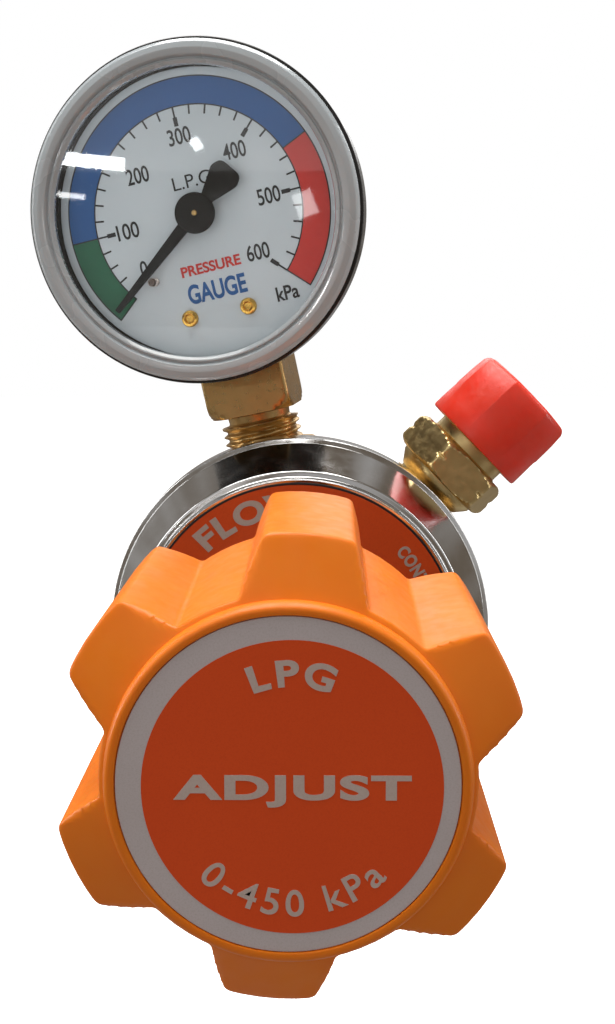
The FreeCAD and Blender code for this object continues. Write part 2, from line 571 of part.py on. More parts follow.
def dial_screws():
    screw = fused(turned([(DIAL_DEPTH - 0.7, 0), (DIAL_DEPTH - 0.7, 0.9), (DIAL_DEPTH - 0.4, 1.3),
                          (DIAL_DEPTH, 1.3), (DIAL_DEPTH, 0)]), rod(0.7, DIAL_DEPTH - 0.1, DIAL_DEPTH + 1.6))
    screw = screw.cut(box((-2, 0, -0.18), (2, DIAL_DEPTH - 0.35, 0.18)))
    return on_gauge(Part.makeCompound([screw.translated(polar(16.5, a)) for a in (163.0, 197.0)]))


def stop_pin():
    """Clear peg that stands in front of the dial, on which the pointer rests."""
    peg = turned([(2.25, 0), (2.25, 0.5), (2.6, 0.68), (DIAL_DEPTH, 0.68), (DIAL_DEPTH, 0)])
    return on_gauge(peg.translated(polar(12.8, STOP_ANGLE)))


POINTER_FRONT = 2.75
POINTER_THICK = 0.45


def pointer():
    """Pointer drawn towards +Z and then turned to its rest: hub, tapered blade and flared tail."""
    back = POINTER_FRONT + POINTER_THICK
    outline = [(-0.62, POINTER_TIP_R), (0.62, POINTER_TIP_R), (1.05, 2.9), (1.05, -3.0), (2.6, -7.6), (2.2, -9.0),
               (-2.2, -9.0), (-2.6, -7.6), (-1.05, -3.0), (-1.05, 2.9)]
    wire = Part.makePolygon([V(x, POINTER_FRONT, z) for x, z in outline + outline[:1]])
    blade = Part.Face(wire).extrude(V(0, POINTER_THICK, 0))
    hub = turned([(POINTER_FRONT - 0.15, 0), (POINTER_FRONT - 0.15, 2.9), (POINTER_FRONT, 3.2), (back, 3.2),
                  (back, 1.4), (back + 0.9, 1.2), (back + 0.9, 0)])
    solid = fused(blade, hub).cut(rod(0.45, 0, 10))
    return on_gauge(spun(solid, POINTER_REST))


# ---- gauge movement -------------------------------------------------------------------------------
FRONT_PLATE = (5.1, 6.1)
BACK_PLATE = (12.0, 12.8)
PINION_R = MODULE * PINION_TEETH / 2
SECTOR_R = MODULE * SECTOR_TEETH / 2
SECTOR_CENTRE = V(0, 0, -(PINION_R + SECTOR_R))
SECTOR_TRAVEL = POINTER_TRAVEL * PINION_TEETH / SECTOR_TEETH
TIP_ARM, TIP_HALF_SWING = 20.9, 4.0


def gear(teeth, start, end, first_at=0.0):
    """Spur gear about Y with a tooth centred first_at degrees clockwise from +Z, cut with backlash."""
    pitch_r = MODULE * teeth / 2
    base_r = pitch_r * math.cos(math.radians(PRESSURE_ANGLE))
    tip_r, root_r = pitch_r + 0.7 * MODULE, pitch_r - 1.05 * MODULE
    backlash = 0.05

    def involute(radius):
        ratio = max(radius, base_r) / base_r
        return math.sqrt(ratio * ratio - 1) - math.acos(1 / ratio)

    half_at_pitch = math.pi / 2 / teeth - backlash / 2 / pitch_r
    radii = [root_r] + [base_r + (tip_r - base_r) * k / 4 for k in range(5) if base_r >= root_r]
    if base_r < root_r:
        radii = [root_r + (tip_r - root_r) * k / 4 for k in range(5)]
    flank = [(r, half_at_pitch + involute(pitch_r) - involute(r)) for r in radii]
    points = []
    for k in range(teeth):
        middle = math.radians(first_at) + 2 * math.pi * k / teeth
        points += [(r, middle - half) for r, half in flank] + [(r, middle + half) for r, half in flank[::-1]]
    loop = [V(r * math.sin(a), start, r * math.cos(a)) for r, a in points]
    return Part.Face(Part.makePolygon(loop + loop[:1])).extrude(V(0, end - start, 0))


def pointer_arbor():
    """Arbor with the pinion on it; half a tooth space faces the sector at the middle of the travel."""
    pinion = gear(PINION_TEETH, 7.2, 8.8, first_at=180.0 / PINION_TEETH + 180.0)
    pinion = spun(pinion, -POINTER_TRAVEL / 2)
    shaft = turned([(POINTER_FRONT - 0.35, 0), (POINTER_FRONT - 0.35, 0.35), (POINTER_FRONT - 0.2, 0.45),
                    (POINTER_FRONT + 1.5, 0.45), (POINTER_FRONT + 1.5, 0.55), (FRONT_PLATE[1], 0.55),
                    (7.2, 0.8), (11.7, 0.8), (11.7, 0.45), (BACK_PLATE[1], 0.45), (BACK_PLATE[1], 0)])
    return on_gauge(fused(shaft, pinion))


def sector_gear():
    """Toothed sector on its own arbor, with the tail that the link pulls."""
    wheel = gear(SECTOR_TEETH, 7.6, 8.4)
    wedge = Part.makePolygon([V(0, 7, -1.0), V(-6.2, 7, 12), V(6.2, 7, 12), V(0, 7, -1.0)])
    toothed = wheel.common(Part.Face(wedge).extrude(V(0, 2, 0)))
    window = tube(7.6, 4.2, 7, 9).common(Part.Face(Part.makePolygon(
        [V(0, 7, 0.8), V(-3.4, 7, 10), V(3.4, 7, 10), V(0, 7, 0.8)])).extrude(V(0, 2, 0)))
    tail = box((-0.9, 7.6, -TAIL_ARM), (0.9, 8.4, 0))
    parts = fused(toothed, rod(1.9, 7.4, 8.6), tail, rod(0.9, 7.6, 8.4).translated(V(0, 0, -TAIL_ARM)),
                  rod(0.5, 8.3, 11.0).translated(V(0, 0, -TAIL_ARM)), rod(0.5, 5.2, 12.7))
    solid = spun(parts.cut(window), SECTOR_TRAVEL / 2)
    return on_gauge(solid.translated(SECTOR_CENTRE))


def tail_pin():
    """Where the sector's tail pin stands at rest, in the gauge's frame."""
    return SECTOR_CENTRE + polar(TAIL_ARM, 180.0 + SECTOR_TRAVEL / 2)


def tip_pin():
    return polar(TUBE_R + 0.04, 135.0)


def link():
    start, end = tail_pin(), tip_pin()
    along = end - start
    angle = math.degrees(math.atan2(along.z, along.x))
    bar = box((0, 9.8, -0.7), (along.Length, 10.5, 0.7))
    solid = fused(bar, rod(1.2, 9.8, 10.5), rod(1.7, 9.8, 10.5).translated(V(along.Length, 0, 0)))
    solid = solid.cut(rod(0.56, 9, 11)).cut(rod(0.95, 9, 11).translated(V(along.Length, 0, 0)))
    solid.rotate(ORIGIN, AXIS_Y, -angle)
    return on_gauge(solid.translated(V(start.x, 0, start.z)))


def bourdon_tube():
    """Flat oval tube, bent to a C from the socket's block over the top to the tip."""
    start_angle, sweep = -164.0, 293.0
    section = Part.Face(Part.makePolygon([V(TUBE_R - 0.9, 14.8, 0), V(TUBE_R + 0.9, 14.8, 0),
                                          V(TUBE_R + 0.9, 21.2, 0), V(TUBE_R - 0.9, 21.2, 0),
                                          V(TUBE_R - 0.9, 14.8, 0)]))
    solid = section.revolve(ORIGIN, AXIS_Y, sweep)
    solid = solid.cut(Part.Face(Part.makePolygon([V(TUBE_R - 0.5, 15.4, 0), V(TUBE_R + 0.5, 15.4, 0),
                                                  V(TUBE_R + 0.5, 20.6, 0), V(TUBE_R - 0.5, 20.6, 0),
                                                  V(TUBE_R - 0.5, 15.4, 0)])).revolve(ORIGIN, AXIS_Y, sweep))
    solid.rotate(ORIGIN, AXIS_Y, start_angle - 90)
    block = box((-5.4, BLOCK_FRONT, -30), (5.4, GAUGE_DEPTH, BLOCK_TOP))
    return on_gauge(solid.cut(block))


def tube_tip():
    """Brass end piece soldered over the tube's end, with the pin that the link hangs on."""
    piece = box((TUBE_R - 1.3, 14.6, -2.2), (TUBE_R + 1.3, 21.4, -0.05))
    piece = fused(piece, rod(0.5, 9.3, 14.8).translated(V(TUBE_R, 0, -1.2)))
    piece.rotate(ORIGIN, AXIS_Y, 41.4)
    return on_gauge(piece)


PLATE_PILLARS = ((-6.4, 3.6), (6.4, 3.6), (-5.6, -19.0), (5.6, -19.0))


def plate_outline(half_top, half_bottom, span):
    top, bottom = 5.4, -20.8
    wire = Part.makePolygon([V(-half_top, span[0], top), V(half_top, span[0], top),
                             V(half_bottom, span[0], bottom), V(-half_bottom, span[0], bottom),
                             V(-half_top, span[0], top)])
    plate = Part.Face(wire).extrude(V(0, span[1] - span[0], 0))
    plate = plate.cut(rod(0.56, 0, 20).translated(SECTOR_CENTRE))
    for x, z in PLATE_PILLARS:
        plate = plate.cut(rod(0.6, 0, 20).translated(V(x, 0, z)))
    return plate


def movement_front_plate():
    plate = plate_outline(8.2, 8.2, FRONT_PLATE).cut(rod(0.61, 0, 20))
    for angle in (163.0, 197.0):
        plate = plate.cut(rod(0.7, 0, 20).translated(polar(16.5, angle)))
    return on_gauge(plate)


def movement_back_plate():
    return on_gauge(plate_outline(8.2, 8.2, BACK_PLATE).cut(rod(0.51, 0, 20)))


def movement_pillars():
    pillar = fused(rod(1.2, FRONT_PLATE[1], BACK_PLATE[0]), rod(0.6, FRONT_PLATE[0], BACK_PLATE[1]))
    return on_gauge(Part.makeCompound([pillar.translated(V(x, 0, z)) for x, z in PLATE_PILLARS]))


def hairspring():
    """Flat spiral from the arbor's collet out to a stud."""
    turns, inner, outer, width = 3.5, 1.1, 3.8, 0.16
    steps = 84
    inside, outside = [], []
    for k in range(steps + 1):
        angle = 2 * math.pi * turns * k / steps
        radius = inner + (outer - inner) * k / steps
        for side, ring in ((-width / 2, inside), (width / 2, outside)):
            ring.append(V((radius + side) * math.sin(angle), 9.6, (radius + side) * math.cos(angle)))
    loop = inside + outside[::-1]
    spiral = Part.Face(Part.makePolygon(loop + loop[:1])).extrude(V(0, 0.7, 0))
    return on_gauge(spiral)


PARTS = {f.__name__: f for f in (
    knob, knob_label, knob_insert, knob_screw, adjusting_screw, bonnet, bonnet_label, spring_button,
    thrust_ball, main_spring, diaphragm_plate, slip_washer, diaphragm, diaphragm_pad, body, nozzle,
    valve_seat, valve_poppet, poppet_spring, spring_retainer, inlet_filter, inlet_stem, stem_o_ring,
    nose_o_ring, nut_retaining_ring, inlet_nut, outlet_connector, outlet_cap, gauge_socket,
    throttle_screw, gauge_case, case_screws, blow_out_plug, gauge_lens, lens_gasket, dial, dial_screws,
    stop_pin, pointer, pointer_arbor, sector_gear, link, bourdon_tube, tube_tip, movement_front_plate,
    movement_back_plate, movement_pillars, hairspring)}

os.makedirs("parts", exist_ok=True)
for name, make in PARTS.items():
    shape = make()
    if not shape.isValid() or not shape.Solids:
        print("NOT VALID", name)
    shape.exportStep("parts/%s.step" % name)
    print("%-22s solids %d  volume %.1f mm3" % (name, len(shape.Solids), shape.Volume))
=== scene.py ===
import json
import math

import bmesh
import bpy
import numpy as np
from mathutils import Matrix, Vector


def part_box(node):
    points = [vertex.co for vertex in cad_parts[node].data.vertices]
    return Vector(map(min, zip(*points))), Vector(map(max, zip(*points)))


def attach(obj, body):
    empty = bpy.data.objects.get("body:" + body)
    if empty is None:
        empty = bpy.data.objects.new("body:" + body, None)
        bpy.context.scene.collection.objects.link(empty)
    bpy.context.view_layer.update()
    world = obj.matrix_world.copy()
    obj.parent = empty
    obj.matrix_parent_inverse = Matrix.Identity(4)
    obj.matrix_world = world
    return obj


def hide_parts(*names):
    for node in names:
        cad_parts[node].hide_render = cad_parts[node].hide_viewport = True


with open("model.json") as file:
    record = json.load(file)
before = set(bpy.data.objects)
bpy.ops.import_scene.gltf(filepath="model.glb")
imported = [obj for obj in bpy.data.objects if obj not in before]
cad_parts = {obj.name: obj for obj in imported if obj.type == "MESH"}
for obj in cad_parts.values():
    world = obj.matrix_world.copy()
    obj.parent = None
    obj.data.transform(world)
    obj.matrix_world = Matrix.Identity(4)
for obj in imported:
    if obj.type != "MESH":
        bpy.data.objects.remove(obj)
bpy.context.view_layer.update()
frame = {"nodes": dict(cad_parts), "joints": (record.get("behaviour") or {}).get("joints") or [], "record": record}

# Lengths below are millimetres unless a name says otherwise; meshes are written in metres.
MM = 0.001
FULL = 2 * math.pi
scene = bpy.context.scene
nodes = frame["nodes"]
joints = {j["name"]: j for j in frame["joints"]}
mounts = {m["name"]: m for m in frame["record"]["mounts"]}


def span(node):
    """Lowest and highest corners of a CAD node, in millimetres."""
    low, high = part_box(node)
    return Vector(low) / MM, Vector(high) / MM


# ---- where things are, read from the frame --------------------------------------------------------
KNOB_LOW, KNOB_HIGH = span("knob")
BONNET_LOW, BONNET_HIGH = span("bonnet")
NUT_LOW, NUT_HIGH = span("inlet_nut")
LABEL_LOW, LABEL_HIGH = span("knob_label")
RING_LOW, RING_HIGH = span("bonnet_label")
LOBE_R = KNOB_HIGH.z
LABEL_R = LABEL_HIGH.x
BONNET_R = BONNET_HIGH.x
RING_R = RING_HIGH.x

GAUGE_AXIS = Vector(joints["pointer_turn"]["axis"])
GAUGE_UP = Vector((-GAUGE_AXIS.z, 0, GAUGE_AXIS.x)).normalized()
POINTER_PIVOT_DEPTH = 3.0
GAUGE_CENTRE = Vector(joints["pointer_turn"]["pos_m"]) - GAUGE_AXIS * POINTER_PIVOT_DEPTH * MM
OUTLET_AXIS = Vector(joints["cap_off"]["axis"])
OUTLET_PLACE = Vector(mounts["outlet"]["pos_m"])
OUTLET_END = math.hypot(OUTLET_PLACE.x, OUTLET_PLACE.z) / MM
OUTLET_BASE = OUTLET_PLACE - OUTLET_AXIS * OUTLET_END * MM


def frame_matrix(origin, y_axis, z_hint):
    """Matrix of a local frame whose y runs along y_axis and whose z is as near z_hint as can be."""
    y = Vector(y_axis).normalized()
    x = y.cross(Vector(z_hint)).normalized()
    z = x.cross(y)
    turned_axes = Matrix((x, y, z)).transposed().to_4x4()
    return Matrix.Translation(origin) @ turned_axes


AXIS_FRAME = Matrix.Identity(4)
GAUGE_FRAME = frame_matrix(GAUGE_CENTRE, GAUGE_AXIS, GAUGE_UP)
OUTLET_FRAME = frame_matrix(OUTLET_BASE, OUTLET_AXIS, (0, -1, 0))


# ---- mesh tools -----------------------------------------------------------------------------------
def new_object(name, verts, faces, matrix=AXIS_FRAME, sharp_angle=32.0):
    """Mesh object from points in millimetres in a local frame, placed in the row frame in metres."""
    mesh = bpy.data.meshes.new(name)
    mesh.from_pydata([tuple(v) for v in np.asarray(verts, float) * MM], [], faces)
    mesh.transform(matrix)
    obj = bpy.data.objects.new(name, mesh)
    scene.collection.objects.link(obj)
    tidy_normals(obj, sharp_angle)
    return obj


def tidy_normals(obj, sharp_angle=32.0):
    """Consistent normals, smooth faces, and edges sharper than the angle kept crisp."""
    edit = bmesh.new()
    edit.from_mesh(obj.data)
    bmesh.ops.remove_doubles(edit, verts=edit.verts, dist=1e-7)
    bmesh.ops.recalc_face_normals(edit, faces=edit.faces)
    limit = math.radians(sharp_angle)
    for face in edit.faces:
        face.smooth = True
    for edge in edit.edges:
        edge.smooth = len(edge.link_faces) == 2 and edge.calc_face_angle(0.0) < limit
    edit.to_mesh(obj.data)
    edit.free()


def ring(y, radius, angles):
    """Points round the y axis; an angle is clockwise from z, seen from the front."""
    if np.ndim(radius) == 0 and radius == 0:
        return np.array([(0.0, np.mean(y), 0.0)])
    y, radius = np.broadcast_to(y, len(angles)), np.broadcast_to(radius, len(angles))
    return np.column_stack((radius * np.sin(angles), y, radius * np.cos(angles)))


def skin(rings):
    """Points and faces of a surface through rings of points. A ring of one point closes the surface."""
    verts, faces, first = np.vstack(rings), [], 0
    for here, after in zip(rings, rings[1:]):
        a, b, count = first, first + len(here), max(len(here), len(after))
        for k in range(count):
            n = (k + 1) % count
            if len(here) == 1:
                faces.append((a, b + k, b + n))
            elif len(after) == 1:
                faces.append((a + k, b, a + n))
            else:
                faces.append((a + k, b + k, b + n, a + n))
        first = b
    return verts, faces


def even_angles(count):
    return np.arange(count) * FULL / count


def rounded(points, closed=True, segments=5):
    """(y, r, fillet) corners turned into (y, r) points, with an arc at each corner that has a fillet."""
    path, count = [], len(points)
    for i, (y, r, fillet) in enumerate(points):
        here = Vector((y, r))
        if fillet <= 0 or (not closed and i in (0, count - 1)):
            path.append((y, r))
            continue
        before = Vector(points[i - 1][:2]) - here
        after = Vector(points[(i + 1) % count][:2]) - here
        turn = before.angle(after)
        reach = min(fillet / math.tan(turn / 2), 0.49 * before.length, 0.49 * after.length)
        first, last = here + before.normalized() * reach, here + after.normalized() * reach
        for k in range(segments + 1):
            t = k / segments
            point = first * (1 - t) ** 2 + here * 2 * t * (1 - t) + last * t ** 2
            path.append((point.x, point.y))
    return path


def supported(path, margin=0.25):
    """The path with extra points near both ends of its long runs, so that flat faces shade flat."""
    dense = [path[0]]
    for start, end in zip(path, path[1:]):
        run = Vector(end) - Vector(start)
        if run.length > 6 * margin:
            step = run.normalized() * margin
            for point in (Vector(start) + step, Vector(end) - step):
                dense.append((point.x, point.y))
        dense.append(end)
    return dense


def turned(name, points, matrix=AXIS_FRAME, count=128, sharp_angle=32.0, segments=5):
    """Solid of revolution from (y, r, fillet) corners, which start and end on the axis or close a loop."""
    on_axis = points[0][1] == 0 and points[-1][1] == 0
    path = rounded(points, closed=not on_axis, segments=segments)
    if not on_axis:
        path = path + path[:1]
    verts, faces = skin([ring(y, r, even_angles(count)) for y, r in supported(path)])
    return new_object(name, verts, faces, matrix, sharp_angle)


def joined(name, *objects):
    """One object from several, which keep their materials."""
    bpy.ops.object.select_all(action="DESELECT")
    for obj in objects:
        obj.select_set(True)
    bpy.context.view_layer.objects.active = objects[0]
    bpy.ops.object.join()
    objects[0].name = name
    objects[0].data.name = name
    return objects[0]


def block(name, low, high, matrix=AXIS_FRAME, bevel=0.3, segments=3):
    """Box with rounded edges."""
    edit = bmesh.new()
    bmesh.ops.create_cube(edit, size=1.0)
    low, high = Vector(low), Vector(high)
    for vert in edit.verts:
        vert.co = Vector([low[i] + (vert.co[i] + 0.5) * (high[i] - low[i]) for i in range(3)])
    bmesh.ops.bevel(edit, geom=edit.edges[:], offset=bevel, segments=segments, profile=0.5,
                    affect="EDGES", clamp_overlap=True)
    verts = [v.co[:] for v in edit.verts]
    faces = [[v.index for v in f.verts] for f in edit.faces]
    edit.free()
    return new_object(name, verts, faces, matrix)


def hex_radius(angles, across_flats, turn=0.0, corner_round=0.25):
    """Radius of a hexagon at each angle, with slightly rounded corners."""
    local = (angles - math.radians(turn)) % (FULL / 6) - FULL / 12
    held = across_flats / math.sqrt(3) - corner_round * (1 - np.abs(local) * 12 / FULL)
    return np.minimum(across_flats / 2 / np.cos(local), held)


def hex_angles(turn=0.0, per_side=24):
    """Angles round a hexagon, with one on every corner and more of them near the corners."""
    ease = (1 - np.cos(np.linspace(0, math.pi, per_side, endpoint=False))) / 2
    side = FULL / 6
    return np.concatenate([math.radians(turn) + side * (k + ease) for k in range(6)])


def thread_rings(angles, start, end, radius, pitch, depth, hand=1, run_in=0.6, run_out=0.6):
    """Rings of a helical V thread with rounded crests. hand is 1 for right-hand, -1 for left-hand."""
    rings = []
    steps = max(8, int((end - start) / pitch * 12))
    for k in range(steps + 1):
        y = start + (end - start) * k / steps
        phase = (y / pitch - hand * angles / FULL) % 1.0
        crest = 0.5 - 0.5 * np.cos(FULL * np.clip(np.abs(phase - 0.5) * 1.15, 0, 0.5))
        fade = min(1.0, (y - start) / (run_in * pitch), (end - y) / (run_out * pitch))
        rings.append(ring(y, radius - depth * crest * max(0.0, fade), angles))
    return rings


def smooth_min(a, b, width):
    """Smaller of two values, blended over the width."""
    mix = np.clip(0.5 + 0.5 * (b - a) / width, 0, 1)
    return b * (1 - mix) + a * mix - width * mix * (1 - mix)


# ---- materials ------------------------------------------------------------------------------------
def srgb(red, green, blue, alpha=1.0):
    """Linear colour from 0 to 255 screen values."""
    def linear(value):
        value /= 255
        return value / 12.92 if value <= 0.04045 else ((value + 0.055) / 1.055) ** 2.4
    return (linear(red), linear(green), linear(blue), alpha)


class Surface:
    """A Principled material whose colour, roughness and bump are varied by procedural textures."""

    def __init__(self, name, colour, roughness, metallic=0.0):
        self.material = bpy.data.materials.new(name)
        self.material.use_nodes = True
        self.tree = self.material.node_tree
        self.shader = self.tree.nodes["Principled BSDF"]
        self.shader.inputs["Base Color"].default_value = colour
        self.shader.inputs["Roughness"].default_value = roughness
        self.shader.inputs["Metallic"].default_value = metallic
        self.place = self.add("ShaderNodeTexCoord").outputs["Object"]
        self.colour = colour
        self.roughness = roughness
        self.normal = None

    def add(self, kind, **values):
        node = self.tree.nodes.new(kind)
        for key, value in values.items():
            setattr(node, key, value)
        return node

    def link(self, start, end):
        self.tree.links.new(start, end)

    def set(self, **values):
        for key, value in values.items():
            self.shader.inputs[key.replace("_", " ")].default_value = value
        return self

    def noise(self, size_mm, detail=3.0, stretch=None, roughness=0.5):
        """Noise texture whose features are about size_mm across. stretch scales it along each axis."""
        texture = self.add("ShaderNodeTexNoise")
        texture.inputs["Scale"].default_value = 1.0 / (size_mm * MM)
        texture.inputs["Detail"].default_value = detail
        texture.inputs["Roughness"].default_value = roughness
        if stretch:
            mapping = self.add("ShaderNodeMapping")
            mapping.inputs["Scale"].default_value = stretch
            self.link(self.place, mapping.inputs["Vector"])
            self.link(mapping.outputs["Vector"], texture.inputs["Vector"])
        else:
            self.link(self.place, texture.inputs["Vector"])
        return texture.outputs["Fac"]

    def ramp(self, source, low, high, start=0.35, end=0.65):
        """The source mapped from start..end to low..high."""
        node = self.add("ShaderNodeMapRange", clamp=True)
        node.inputs["From Min"].default_value = start
        node.inputs["From Max"].default_value = end
        node.inputs["To Min"].default_value = low
        node.inputs["To Max"].default_value = high
        self.link(source, node.inputs["Value"])
        return node.outputs["Result"]

    def tint(self, source, other, amount=1.0, start=0.35, end=0.65):
        """Base colour moves towards another colour where the source is high."""
        mix = self.add("ShaderNodeMix", data_type="RGBA")
        factor, first, second = mix.inputs[0], mix.inputs[6], mix.inputs[7]
        current = self.shader.inputs["Base Color"]
        if current.is_linked:
            self.link(current.links[0].from_socket, first)
        else:
            first.default_value = self.colour
        second.default_value = other
        self.link(self.ramp(source, 0.0, amount, start, end), factor)
        self.link(mix.outputs[2], current)
        return self

    def vary_roughness(self, source, low, high, start=0.35, end=0.65):
        self.link(self.ramp(source, low, high, start, end), self.shader.inputs["Roughness"])
        return self

    def bump(self, source, height_mm, strength=1.0):
        node = self.add("ShaderNodeBump")
        node.inputs["Distance"].default_value = height_mm * MM
        node.inputs["Strength"].default_value = strength
        self.link(source, node.inputs["Height"])
        if self.normal is not None:
            self.link(self.normal, node.inputs["Normal"])
        self.normal = node.outputs["Normal"]
        self.link(self.normal, self.shader.inputs["Normal"])
        return self

    def put(self, *objects):
        for obj in objects:
            obj.data.materials.clear()
            obj.data.materials.append(self.material)
        return self


def knob_plastic():
    look = Surface("knob_orange", srgb(244, 124, 12), 0.45)
    look.set(Subsurface_Weight=0.12, Subsurface_Scale=0.002, Specular_IOR_Level=0.35)
    look.shader.inputs["Subsurface Radius"].default_value = (1.0, 0.35, 0.05)
    look.tint(look.noise(9.0, 4.0), srgb(250, 134, 18), 0.6)
    look.vary_roughness(look.noise(2.2, 5.0), 0.34, 0.50)
    look.bump(look.noise(0.35, 2.0), 0.012, 0.5)
    return look


def chrome():
    look = Surface("chrome_plate", srgb(212, 212, 212), 0.12, 1.0)
    look.vary_roughness(look.noise(3.0, 6.0), 0.09, 0.20, 0.4, 0.7)
    look.bump(look.noise(2.4, 3.0), 0.010, 0.4)
    return look


def brass(name="machined_brass", tone=(202, 168, 112), rough=(0.26, 0.42), rings=0.0):
    look = Surface(name, srgb(*tone), rough[0], 1.0)
    look.tint(look.noise(4.0, 3.0), srgb(tone[0] * 0.90, tone[1] * 0.87, tone[2] * 0.82), 0.4)
    look.vary_roughness(look.noise(1.1, 4.0), rough[0], rough[1])
    if rings:
        wave = look.add("ShaderNodeTexWave", wave_type="BANDS", bands_direction="Y")
        wave.inputs["Scale"].default_value = rings / MM
        wave.inputs["Distortion"].default_value = 0.6
        look.link(look.place, wave.inputs["Vector"])
        look.bump(wave.outputs["Fac"], 0.006, 0.35)
    look.bump(look.noise(0.9, 2.0), 0.004, 0.3)
    return look


def steel(name="plated_steel", tone=(150, 152, 156), rough=(0.25, 0.42)):
    look = Surface(name, srgb(*tone), rough[0], 1.0)
    look.vary_roughness(look.noise(1.5, 5.0), *rough)
    look.bump(look.noise(0.5, 4.0, (1, 6, 1)), 0.006, 0.4)
    return look


def rubber(name="black_rubber"):
    look = Surface(name, srgb(24, 24, 25), 0.6)
    look.vary_roughness(look.noise(0.9, 4.0), 0.5, 0.75)
    look.bump(look.noise(0.3, 3.0), 0.015, 0.5)
    return look


def label_ink(name, colour, speck, roughness=0.48):
    """Printed film: an even colour with the fine grain of the print, under a clear gloss."""
    look = Surface(name, colour, roughness)
    look.tint(look.noise(0.22, 2.0, roughness=0.7), speck, 0.55, 0.45, 0.75)
    look.tint(look.noise(14.0, 3.0), speck, 0.25)
    look.set(Specular_IOR_Level=0.3)
    look.bump(look.noise(3.5, 3.0), 0.010, 0.35)
    return look


def cap_plastic():
    look = Surface("cap_red", srgb(248, 58, 36), 0.42)
    look.set(Subsurface_Weight=0.15, Subsurface_Scale=0.0015)
    look.shader.inputs["Subsurface Radius"].default_value = (1.0, 0.2, 0.1)
    look.tint(look.noise(3.0, 4.0), srgb(240, 76, 56), 0.5)
    look.vary_roughness(look.noise(1.0, 5.0), 0.28, 0.46)
    look.bump(look.noise(1.2, 4.0), 0.030, 0.4)
    return look


def enamel():
    look = Surface("black_enamel", srgb(30, 29, 28), 0.22)
    look.vary_roughness(look.noise(2.0, 5.0), 0.14, 0.30)
    look.bump(look.noise(1.0, 4.0), 0.008, 0.4)
    return look


def clear_plastic(name="clear_lens", tone=(244, 247, 248), roughness=0.02):
    look = Surface(name, srgb(*tone), roughness)
    look.set(Transmission_Weight=1.0, IOR=1.47)
    look.bump(look.noise(6.0, 2.0), 0.004, 0.25)
    return look


def dial_white():
    look = Surface("dial_face", srgb(202, 210, 215), 0.45)
    look.tint(look.noise(11.0, 3.0), srgb(210, 217, 222), 0.6)
    look.bump(look.noise(0.5, 3.0), 0.004, 0.3)
    return look


def dial_ink(name, colour):
    look = Surface(name, colour, 0.45)
    look.tint(look.noise(0.3, 2.0), tuple(0.8 * c for c in colour[:3]) + (1.0,), 0.5, 0.4, 0.7)
    look.bump(look.noise(0.4, 2.0), 0.003, 0.3)
    return look


def pointer_paint():
    look = Surface("pointer_black", srgb(13, 13, 14), 0.42)
    look.set(Specular_IOR_Level=0.3)
    look.vary_roughness(look.noise(0.8, 4.0), 0.34, 0.55)
    look.bump(look.noise(0.35, 3.0), 0.008, 0.5)
    return look


def fit(piece, body, node=None, look=None):
    """Dress a piece, put it on its body and let it stand for its CAD node."""
    if look is not None:
        look.put(piece)
    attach(piece, body)
    if node:
        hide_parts(node)
    return piece


def local(matrix, offset=(0, 0, 0), turn=0.0):
    """The frame moved by an offset in millimetres in its own axes, and turned clockwise about its y."""
    return matrix @ Matrix.Translation(Vector(offset) * MM) @ Matrix.Rotation(math.radians(turn), 4, "Y")


def plate(name, outline, front, back, matrix=AXIS_FRAME, bevel=0.0):
    """Flat piece with a closed (x, z) outline, from depth front to depth back."""
    edit = bmesh.new()
    face = edit.faces.new([edit.verts.new((x, front, z)) for x, z in outline])
    made = bmesh.ops.extrude_face_region(edit, geom=[face])
    for item in made["geom"]:
        if isinstance(item, bmesh.types.BMVert):
            item.co.y = back
    if bevel:
        rim = [e for e in edit.edges if all(abs(v.co.y - front) < 1e-6 for v in e.verts)]
        bmesh.ops.bevel(edit, geom=rim, offset=bevel, segments=2, profile=0.5, affect="EDGES")
    edit.verts.index_update()
    verts, faces = [v.co[:] for v in edit.verts], [[v.index for v in f.verts] for f in edit.faces]
    edit.free()
    return new_object(name, verts, faces, matrix)


def soft_outline(corners, segments=4):
    """(x, z) outline from (x, z, fillet) corners."""
    return rounded(corners, closed=True, segments=segments)


def sector_outline(inner, outer, start, end):
    """(x, z) outline of a piece of a flat ring between two angles, clockwise from z."""
    angles = np.radians(np.linspace(start, end, max(2, int((end - start) / 3) + 2)))
    arc = [(outer * math.sin(a), outer * math.cos(a)) for a in angles]
    return arc + [(inner * math.sin(a), inner * math.cos(a)) for a in angles[::-1]]


def bar_outline(angle, inner, outer, width):
    """(x, z) outline of a radial stroke."""
    a = math.radians(angle)
    along, across = Vector((math.sin(a), math.cos(a))), Vector((math.cos(a), -math.sin(a))) * width / 2
    return [tuple(p) for p in (along * inner - across, along * outer - across,
                               along * outer + across, along * inner + across)]


